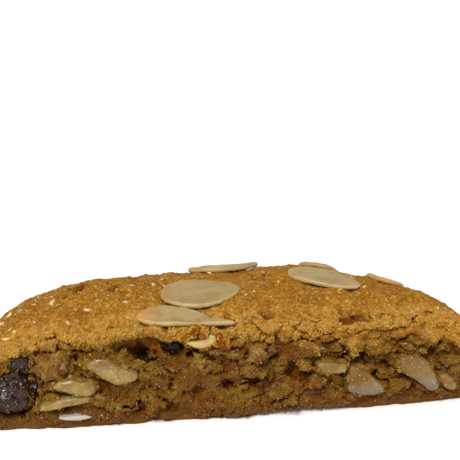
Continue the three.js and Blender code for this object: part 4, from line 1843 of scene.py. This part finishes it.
@dataclass(frozen=True)
class DoughFinish:
    """Golden crust and torn crumb.

    The first colours are the crust's ground, patches, painted light on the crests and painted
    shade in the creases of its fine relief, lip, painted shade in its dents and cracks, and
    specks. The last four are the torn crumb's lumps, painted shade in its crevices, painted
    light and shade deep in its caves, and painted shade in the cave's deep slit.
    """

    golden: Colour = srgb(151, 100, 20)
    brown: Colour = srgb(126, 77, 12)
    sandy: Colour = srgb(176, 127, 41)
    russet: Colour = srgb(116, 66, 7)
    # Painted light on the crests and painted shade in the creases of the crust's fine relief.
    lit_crest: Colour = srgb(194, 151, 70)
    shaded_crease: Colour = srgb(108, 60, 5)
    lip: Colour = srgb(183, 135, 58)
    # Painted shade for the crust's dents and cracks.
    dent_shade: Colour = srgb(104, 50, 4)
    fleck: Colour = srgb(222, 186, 124)
    pale: Colour = srgb(152, 124, 66)
    # Painted shade in the crumb's fine creases.
    crevice_shade: Colour = srgb(92, 42, 2)
    # Painted shading: surfaces far behind the torn face are painted a saturated orange, the look of light
    # and shade inside the caves.
    depth_shading: Colour = srgb(168, 100, 18)
    # Painted shade for the deep slit in the cave.
    slit_shade_colour: Colour = srgb(34, 16, 6)

    def build(self, shared: Shared) -> Material:
        """Lays the material out.

        Args:
            shared: the shared groups.

        Returns:
            The material.
        """
        s = Paint("baked_dough")
        torn, moist, behind, under, tip = s.attributes("torn", "moist", "behind", "under", "tip")
        grain = s.use(shared.grain).outputs
        fine = grain["Value"]
        tone = s.plus(s.times(s.attribute("tone"), 0.6), s.times(s.attribute("speck"), 0.4))
        crumb = s.use(shared.torn, under=under, moist=moist, tone=tone, tip=tip, fine=fine)
        body = s.coats(
            crumb.outputs["Color"],
            (s.times(s.attribute("pale"), 0.6), self.pale),
            # Painted shade in the fine creases of the crumb.
            (s.times(s.steps(s.attribute("edge"), 0.42, 0.05), 0.6), self.crevice_shade),
            # Painted light and shade deep in the caves.
            (s.steps(behind, 0.42, 0.75), self.depth_shading),
            # Painted shade in the cave's deep slit.
            (s.times(s.attribute("slit_shade"), 0.9), self.slit_shade_colour),
        )
        broad, mid = s.noise(9.0, 2.0), s.noise(1.6)
        crust = s.coats(
            self.golden,
            (s.times(s.steps(broad, 0.38, 0.66), 0.5), self.brown),
            (s.times(s.steps(mid, 0.5, 0.66), 0.5), self.sandy),
            (s.times(s.steps(mid, 0.46, 0.34), 0.5), self.russet),
            # Painted light and shade: the fine noise that raises the bump also paints its crests lighter and
            # its creases darker.
            (s.times(s.steps(fine, 0.52, 0.62), 0.6), self.lit_crest),
            (s.times(s.steps(fine, 0.46, 0.36), 0.6), self.shaded_crease),
            (s.times(s.steps(behind, 0.75, 0.3), s.steps(mid, 0.35, 0.6, (0.3, 0.8))), self.lip),
            # Painted shade in the crust's dents and cracks.
            (s.times(s.attribute("sunk"), 0.9), self.dent_shade),
            (s.times(s.steps(s.cells(1.3), 0.2, 0.1), s.steps(mid, 0.45, 0.6), 0.7), self.fleck),
        )
        sticky = s.times(moist, torn, s.steps(s.noise(1.4), 0.48, 0.6), 0.3)
        s.set(
            Base_Color=s.mix(torn, crust, body),
            Roughness=s.math("SUBTRACT", 0.8, s.times(moist, torn, 0.35)),
            Specular_IOR_Level=0.1,
            Coat_Weight=sticky,
            Coat_Roughness=0.12,
            Normal=s.bump(grain["Relief"], 1.0, 0.6),
        )
        s.soft(0.2, 1.0, 0.6, 0.2)
        return s.material


@dataclass(frozen=True)
class CrumbFinish:
    """Loose grains of the same dough.

    They have a roughness, a value that adds to the painted light on proud tips and so makes them
    lighter than the dough, the gloss of the wet coat on some of them, and a painted shade colour
    for those that lie deep in the crumb.
    """

    name: str
    rough: float
    light: float
    gloss: float = 0.0
    # Painted shade for grains that lie deep in the crumb.
    depth_shading: Colour = srgb(70, 40, 14)

    def build(self, shared: Shared) -> Material:
        """Lays the material out.

        Args:
            shared: the shared groups.

        Returns:
            The material.
        """
        s = Paint(self.name)
        under, moist, tip, behind, tone = s.attributes("under", "moist", "tip", "behind", "tone")
        grain = s.use(shared.grain).outputs
        # The raised Tip gives loose grains more of the painted light on proud tips.
        crumb = s.use(shared.torn, under=under, moist=moist, tone=tone, fine=grain["Value"],
                      tip=s.plus(s.times(tip, 0.5), s.times(tone, 0.35), self.light))
        uneven = s.times(s.math("SUBTRACT", grain["Value"], 0.5), 0.3)
        s.set(
            # Painted shade on grains far behind the torn face.
            Base_Color=s.mix(s.steps(behind, 0.35, 0.85), crumb.outputs["Color"], self.depth_shading),
            Roughness=s.plus(self.rough, uneven),
            Specular_IOR_Level=0.12,
            Coat_Weight=s.times(s.steps(tone, 0.55, 0.75), self.gloss),
            Coat_Roughness=0.1,
            Normal=s.bump(grain["Relief"], 0.7, 0.15),
        )
        s.soft(0.3, 1.2, 0.6, 0.2)
        return s.material


@dataclass(frozen=True)
class FlakeFinish:
    """Cream almond slices with paler grain, painted light on their upright rims and a toasted end."""

    cream: Colour = srgb(138, 113, 65)
    pale: Colour = srgb(151, 128, 81)
    dusty: Colour = srgb(162, 143, 102)
    # Painted light on the upright rims.
    rim: Colour = srgb(168, 143, 94)
    toasted: Colour = srgb(176, 124, 58)

    def build(self) -> Material:
        """Lays the material out and returns it."""
        s = Paint("flaked_almond")
        rim, toast = s.attributes("rim", "toast")
        fine, wave = s.noise(0.5), s.noise(4.0, 2.0)
        colour = s.coats(
            self.cream,
            (s.steps(wave, 0.4, 0.6), self.pale),
            (s.times(s.steps(fine, 0.5, 0.7), 0.3), self.dusty),
            # Painted light: upright sides are painted paler.
            (s.times(rim, s.steps(wave, 0.3, 0.5, (0.35, 0.9))), self.rim),
            (s.times(toast, s.steps(fine, 0.3, 0.6, (0.6, 1.0))), self.toasted),
        )
        uneven = s.plus(fine, s.times(s.noise(0.22, 2.0), 0.5))
        s.set(Base_Color=colour, Roughness=s.steps(fine, 0.3, 0.7, (0.42, 0.6)), Specular_IOR_Level=0.4,
              Normal=s.bump(uneven, 0.35, 0.12))
        s.soft(0.3, 1.6, 1.1, 0.6)
        return s.material


@dataclass(frozen=True)
class ChipFinish:
    """Almond pieces in the dough: tan or moist, some under painted shadow, with painted bounce light
    as cool white at their lower ends, and the white flesh of the sliver.
    """

    tan: Colour = srgb(130, 105, 42)
    beige: Colour = srgb(150, 130, 78)
    amber: Colour = srgb(98, 60, 2)
    dusty: Colour = srgb(176, 155, 104)
    # Painted shadow colour.
    shadow_brown: Colour = srgb(92, 56, 2)
    # Painted bounce light at the pieces' lower ends, and the sliver's white flesh.
    grey: Colour = srgb(106, 96, 90)
    white: Colour = srgb(164, 154, 144)
    dry: Colour = srgb(204, 176, 122)

    def build(self) -> Material:
        """Lays the material out and returns it."""
        s = Paint("almond_piece")
        wet, cool, painted_shadow, light = s.attributes("wet", "cool", "painted_shadow", "light")
        fine, wave = s.noise(0.45), s.noise(2.4)
        colour = s.coats(
            self.tan,
            (s.steps(wave, 0.35, 0.65), self.beige),
            (s.times(wet, s.steps(wave, 0.7, 0.4, (0.5, 1.0))), self.amber),
            (s.times(s.steps(fine, 0.5, 0.7), 0.3), self.dusty),
            # Painted shadow over some pieces.
            (painted_shadow, self.shadow_brown),
            # Painted bounce light at the lower ends, and the sliver's white flesh.
            (cool, s.mix(s.steps(cool, 0.75, 0.95), self.grey, self.white)),
            (light, self.dry),
        )
        uneven = s.plus(fine, s.times(s.steps(s.cells(0.4), 0.5, 0.1), 0.4))
        s.set(Base_Color=colour, Roughness=s.math("SUBTRACT", 0.55, s.times(wet, 0.3)),
              Specular_IOR_Level=0.22, Coat_Weight=s.times(wet, 0.25), Coat_Roughness=0.12,
              Normal=s.bump(uneven, 0.35, 0.15))
        s.soft(0.35, 1.6, 1.0, 0.5)
        return s.material


@dataclass(frozen=True)
class FruitFinish:
    """Nearly black, sticky dried fruit."""

    black: Colour = srgb(26, 13, 9)
    brown: Colour = srgb(52, 31, 21)

    def build(self) -> Material:
        """Lays the material out and returns it."""
        s = Paint("dried_fruit")
        fine, wave = s.noise(0.4), s.noise(1.8)
        s.set(Base_Color=s.mix(s.steps(wave, 0.4, 0.66), self.black, self.brown),
              Roughness=s.steps(fine, 0.35, 0.65, (0.2, 0.4)), Specular_IOR_Level=0.2,
              Coat_Weight=0.14, Coat_Roughness=0.06,
              Normal=s.bump(s.plus(wave, s.times(fine, 0.4)), 0.6, 0.3))
        s.soft(0.1, 0.8, 0.2, 0.1)
        return s.material


@dataclass(frozen=True)
class CrystalFinish:
    """Sugary crystals with glinting faces: their darkest and lightest colour, roughness and gleam."""

    name: str
    dark: Colour
    light: Colour
    rough: float
    gleam: float

    def build(self) -> Material:
        """Lays the material out and returns it."""
        s = Paint(self.name)
        s.set(Base_Color=s.mix(s.attribute("tone"), self.dark, self.light), Roughness=self.rough,
              Specular_IOR_Level=self.gleam, Normal=s.bump(s.noise(0.3), 0.2, 0.05))
        return s.material


@dataclass(frozen=True)
class FleckFinish:
    """Whitish flecks on the crust."""

    sandy: Colour = srgb(184, 138, 66)
    cream: Colour = srgb(222, 192, 136)
    crusty: Colour = srgb(180, 130, 70)

    def build(self) -> Material:
        """Lays the material out and returns it."""
        s = Paint("pale_flecks")
        colour = s.coats(
            self.sandy,
            (s.steps(s.attribute("tone"), 0.2, 1.0), self.cream),
            (s.times(s.noise(0.4), 0.3), self.crusty),
        )
        s.set(Base_Color=colour, Roughness=0.6, Normal=s.bump(s.noise(0.25), 0.4, 0.1))
        s.soft(0.2, 1.2, 0.8, 0.4)
        return s.material


# --------------------------------------------------------------------------- stage


@dataclass
class Studio:
    """Pale floor with an upturned rim, soft light and the camera.

    Args:
        place: the camera's place in millimetres.
        pitch: how far it looks down, in degrees.
        yaw: how far it turns from +Y to +X, in degrees.
        lens: focal length in millimetres.
        sensor: width of the sensor in millimetres.
        radius: radius of the floor's flat part in metres.
        rim: how far the floor's rim reaches out and up, in metres.
        surround: brightness of the pale surround.
        aim: where the lamps point, in metres.
    """

    place: tuple[float, float, float] = (-17.92 + TEAR_X, -153.49 + TEAR_Y, 55.86)
    pitch: float = 9.1
    yaw: float = 8.2
    lens: float = 58.7
    sensor: float = 36.0
    radius: float = 1.4
    rim: float = 0.8
    surround: float = 0.5
    aim: tuple[float, float, float] = (0.0, -0.01, 0.01)

    def floor(self) -> None:
        """A large pale floor that curves up far away on all sides."""
        bpy.ops.mesh.primitive_circle_add(vertices=128, fill_type="NGON", radius=self.radius)
        floor = bpy.context.active_object
        floor.name = "floor"
        radius, rise = self.radius, 0.0
        with editing(floor):
            bpy.ops.mesh.select_mode(type="EDGE")
            bpy.ops.mesh.region_to_loop()
            for step in range(1, 10):
                angle = 0.5 * math.pi * step / 9
                grown = self.radius + self.rim * math.sin(angle)
                lift = self.rim * (1.0 - math.cos(angle))
                bpy.ops.mesh.extrude_region_move(TRANSFORM_OT_translate={"value": (0.0, 0.0, lift - rise)})
                ratio = grown / radius
                bpy.ops.transform.resize(value=(ratio, ratio, 1.0), center_override=(0.0, 0.0, 0.0))
                radius, rise = grown, lift
        floor.data.shade_smooth()
        s = Paint("floor_paper")
        s.set(Base_Color=s.mix(s.noise(60.0), (0.96, 0.96, 0.96), (0.98, 0.98, 0.98)), Roughness=0.9)
        floor.data.materials.append(s.material)

    def camera(self) -> None:
        """The camera, at the height and turn that the view needs."""
        data = bpy.data.cameras.new("camera")
        data.lens = self.lens
        data.sensor_width = self.sensor
        data.clip_start = 0.005
        data.clip_end = 20.0
        camera = bpy.data.objects.new("camera", data)
        camera.location = Vector(self.place) * MM
        camera.rotation_euler = (math.radians(90.0 - self.pitch), 0.0, math.radians(-self.yaw))
        bpy.context.collection.objects.link(camera)
        bpy.context.scene.camera = camera

    def lamp(self, name: str, kind: str, at: tuple[float, float, float], size: float, power: float,
             tint: Colour) -> None:
        """A lamp that looks at the cookie.

        Args:
            name: the lamp's name.
            kind: AREA, or SUN for an even far light.
            at: its place in metres.
            size: edge in metres, or for a far light its width in degrees.
            power: watts, or for a far light watts per square metre.
            tint: its colour.
        """
        data = bpy.data.lights.new(name, kind)
        if kind == "SUN":
            data.angle = math.radians(size)
        else:
            data.size = size
        data.energy = power
        data.color = tint
        lamp = bpy.data.objects.new(name, data)
        lamp.location = at
        lamp.rotation_euler = (Vector(self.aim) - Vector(at)).to_track_quat("-Z", "Y").to_euler()
        bpy.context.collection.objects.link(lamp)

    def light(self) -> None:
        """Soft far key from the upper left front, a weak cool fill and a pale surround."""
        world = bpy.data.worlds.new("surround")
        world.use_nodes = True
        colour, strength = world.node_tree.nodes["Background"].inputs[:2]
        colour.default_value = (1.0, 1.0, 1.0, 1.0)
        strength.default_value = self.surround
        bpy.context.scene.world = world
        self.lamp("key", "SUN", (-0.3, -0.55, 0.7), 14.0, 2.2, (1.0, 0.98, 0.95))
        self.lamp("glint", "AREA", (-0.12, -0.3, 0.22), 0.02, 0.6, (1.0, 1.0, 1.0))
        self.lamp("fill", "AREA", (0.35, -0.6, 0.12), 0.3, 0.5, (0.9, 0.94, 1.0))

    def build(self) -> None:
        """Builds floor, camera and lamps."""
        bpy.context.scene.view_settings.view_transform = "Standard"
        self.floor()
        self.camera()
        self.light()


# --------------------------------------------------------------------------- the cookie


@dataclass
class Cookie:
    """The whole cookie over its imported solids.

    Args:
        nodes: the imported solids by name.
        thick: height in metres above which an almond piece gets a rough opening.
    """

    nodes: dict[str, Thing]
    thick: float = 1.6 * MM

    def add(self, obj: Thing, finish: Material, slot: str, node: str = "") -> None:
        """Gives a piece its finish and body, hides the solid that it replaces, and reports it.

        Args:
            obj: the piece.
            finish: its material.
            slot: not used.
            node: the solid that it replaces, if it does.
        """
        obj.data.materials.clear()
        obj.data.materials.append(finish)
        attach(obj, "root")
        if node:
            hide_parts(node)
        lap("%s: %d faces" % (obj.name, len(obj.data.polygons)))

    def build(self) -> None:
        """Builds almonds and fruit, then the dough round them, then the crumbs."""
        shared = Shared(TornColours().group(), grain_group())
        almond, chip, fruit = FlakeFinish().build(), ChipFinish().build(), FruitFinish().build()
        rough, neat, dark = [], [], []
        for flake in FLAKES:
            obj = flake.build(self.nodes[flake.name])
            self.add(obj, almond, "flaked_almond", flake.name)
            if flake.name == "flake_front":
                neat.append(obj)
        for piece in CHIPS:
            obj = piece.build()
            self.add(obj, chip, "almond_piece", piece.name)
            (rough if obj.dimensions.z > self.thick and not piece.bare else neat).append(obj)
        for piece in FRUIT:
            obj = piece.build()
            self.add(obj, fruit, "dried_fruit", piece.name)
            dark.append(obj)
        seats = [obj for name, obj in self.nodes.items() if name != "dough"]
        openings = ((rough, -0.2, 0.26), (neat, 0.04, 0.05), (dark, 0.6, 0.2))
        dough = DoughForm().build(self.nodes["dough"], seats, openings)
        self.add(dough, DoughFinish().build(shared), "baked_dough", "dough")
        sharp = Kernel.several(5, 1, 0.7, 0.3, 40)
        # Pale sugar crystals: their near-white colour is a painted highlight standing in for sparkles, and
        # their flat faces glint as well.
        clear = CrystalFinish("sparkle_sugar_crystals", srgb(180, 150, 100), srgb(236, 228, 210), 0.08, 0.8).build()
        self.strew(Skin([dough]), shared, sharp, clear)
        self.stick(rough + neat, dark, shared, sharp, clear)

    def strew(self, skin: Skin, shared: Shared, sharp: list[Kernel], clear: Material) -> None:
        """Strews grains over the torn crumb and flecks over the crust.

        Args:
            skin: the dough's surface.
            shared: the groups that the grains' finish needs.
            sharp: shapes of the crystals.
            clear: finish of the crystals.
        """
        m, place = skin.masks, skin.middle
        torn = smooth(0.4, 0.8, m["torn"]) * (1.0 - smooth(0.3, 0.55, m["behind"]))
        upper = 1.0 - smooth(0.24, 0.48, m["under"])
        lip = (1.0 - smooth(0.2, 0.5, m["behind"])) * (1.0 - smooth(0.02, 0.1, m["under"]))
        raised = smooth(0.7, 1.5, place[:, 2])
        proud = smooth(0.3, 0.6, m["tip"])
        inside = torn * (1.0 - 0.8 * upper)
        dry = (torn * upper * (0.3 + proud) * (1.0 - 0.9 * m["moist"]) + 0.25 * lip) * raised
        wet = inside * (0.2 + proud) * (1.0 - 0.5 * m["moist"]) * raised
        damp = inside * (0.1 + proud) * raised
        crust = (1.0 - smooth(0.05, 0.3, m["torn"])) * smooth(3.0, 6.0, place[:, 2])
        crust *= smooth(0.1, 0.5, skin.normal[:, 2])
        crust *= 0.4 + 0.6 * smooth(6.0, -14.0, place[:, 0]) * smooth(2.0, -14.0, place[:, 1])
        fine = Kernel.several(6, 1, 0.8, 0.4)
        lumps = Kernel.several(6, 2, 0.75, 0.34, 10)
        plates = Kernel.several(8, 2, 0.16, 0.7, 20)
        grain = CrumbFinish("crumb_grains", 0.75, 0.12).build(shared)
        moist = CrumbFinish("moist_grains", 0.45, 0.08, 0.9).build(shared)
        for scatter, weight, finish in (
            (Scatter("crumb_grains", fine, 9900, 0.08, 0.27, seed=1), dry, grain),
            (Scatter("crumb_lumps", lumps, 600, 0.18, 0.42, 0.4, seed=2), dry, grain),
            (Scatter("moist_grains", fine, 8000, 0.09, 0.34, seed=3, facets=True), wet, moist),
            # Sugar crystals whose pale colour is a painted highlight.
            (Scatter("sparkle_sugar_in_crumb", sharp, 900, 0.04, 0.12, 0.4, seed=9, facets=True), damp, clear),
            (Scatter("crust_flecks", plates, 800, 0.08, 0.6, 0.6, True, 5), crust, FleckFinish().build()),
        ):
            self.add(scatter.build(skin, weight), finish, "baked_dough")

    def stick(self, nuts: list[Thing], fruit: list[Thing], shared: Shared, sharp: list[Kernel],
              clear: Material) -> None:
        """Sticks crumbs to the almonds' edges and sugary crystals to almonds and fruit.

        Args:
            nuts: the almond pieces in view on the torn face.
            fruit: the dried fruit.
            shared: the groups that the crumbs' finish needs.
            sharp: shapes of the crystals.
            clear: finish of the clear crystals.
        """
        skin = Skin([nut for nut in nuts if "torn" in nut.data.attributes])
        x, z = skin.middle[:, 0], skin.middle[:, 2]
        patches = np.sin(1.7 * x) + np.sin(2.3 * z + 0.9 * x)
        weight = skin.masks["torn"] * smooth(-0.2, 1.2, patches) * smooth(2.6, 3.6, z)
        crumbs = Scatter("stuck_crumbs", Kernel.several(6, 2, 0.75, 0.34, 30), 1100, 0.12, 0.45, 0.3, seed=6)
        finish = CrumbFinish("stuck_crumbs", 0.7, 0.1, 0.3).build(shared)
        self.add(crumbs.build(skin, weight), finish, "baked_dough")
        skin = Skin([*skin.pieces, *fruit])
        weight = smooth(-0.2, -0.7, skin.normal[:, 1]) * smooth(2.6, 3.6, skin.middle[:, 2])
        # Sugar crystals whose pale colour is a painted highlight.
        crystals = Scatter("sparkle_sugar_on_pieces", sharp, 340, 0.04, 0.12, 0.4, seed=8, facets=True)
        self.add(crystals.build(skin, weight), clear, "almond_piece")
        skin = Skin(fruit)
        weight = smooth(-0.2, -0.7, skin.normal[:, 1]) * (0.3 + smooth(-0.2, 0.6, skin.normal[:, 2]))
        glints = Scatter("sticky_crystals", sharp, 300, 0.07, 0.22, 0.6, seed=7, facets=True)
        finish = CrystalFinish("sticky_crystals", srgb(28, 16, 14), srgb(66, 44, 34), 0.12, 0.6).build()
        self.add(glints.build(skin, weight), finish, "dried_fruit")


def main() -> None:
    """Builds the cookie's pieces in order."""
    logging.basicConfig(level=logging.INFO, format="%(name)s: %(message)s")
    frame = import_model()
    Cookie(frame["nodes"]).build()
    Studio().build()


if __name__ == "__main__":
    main()
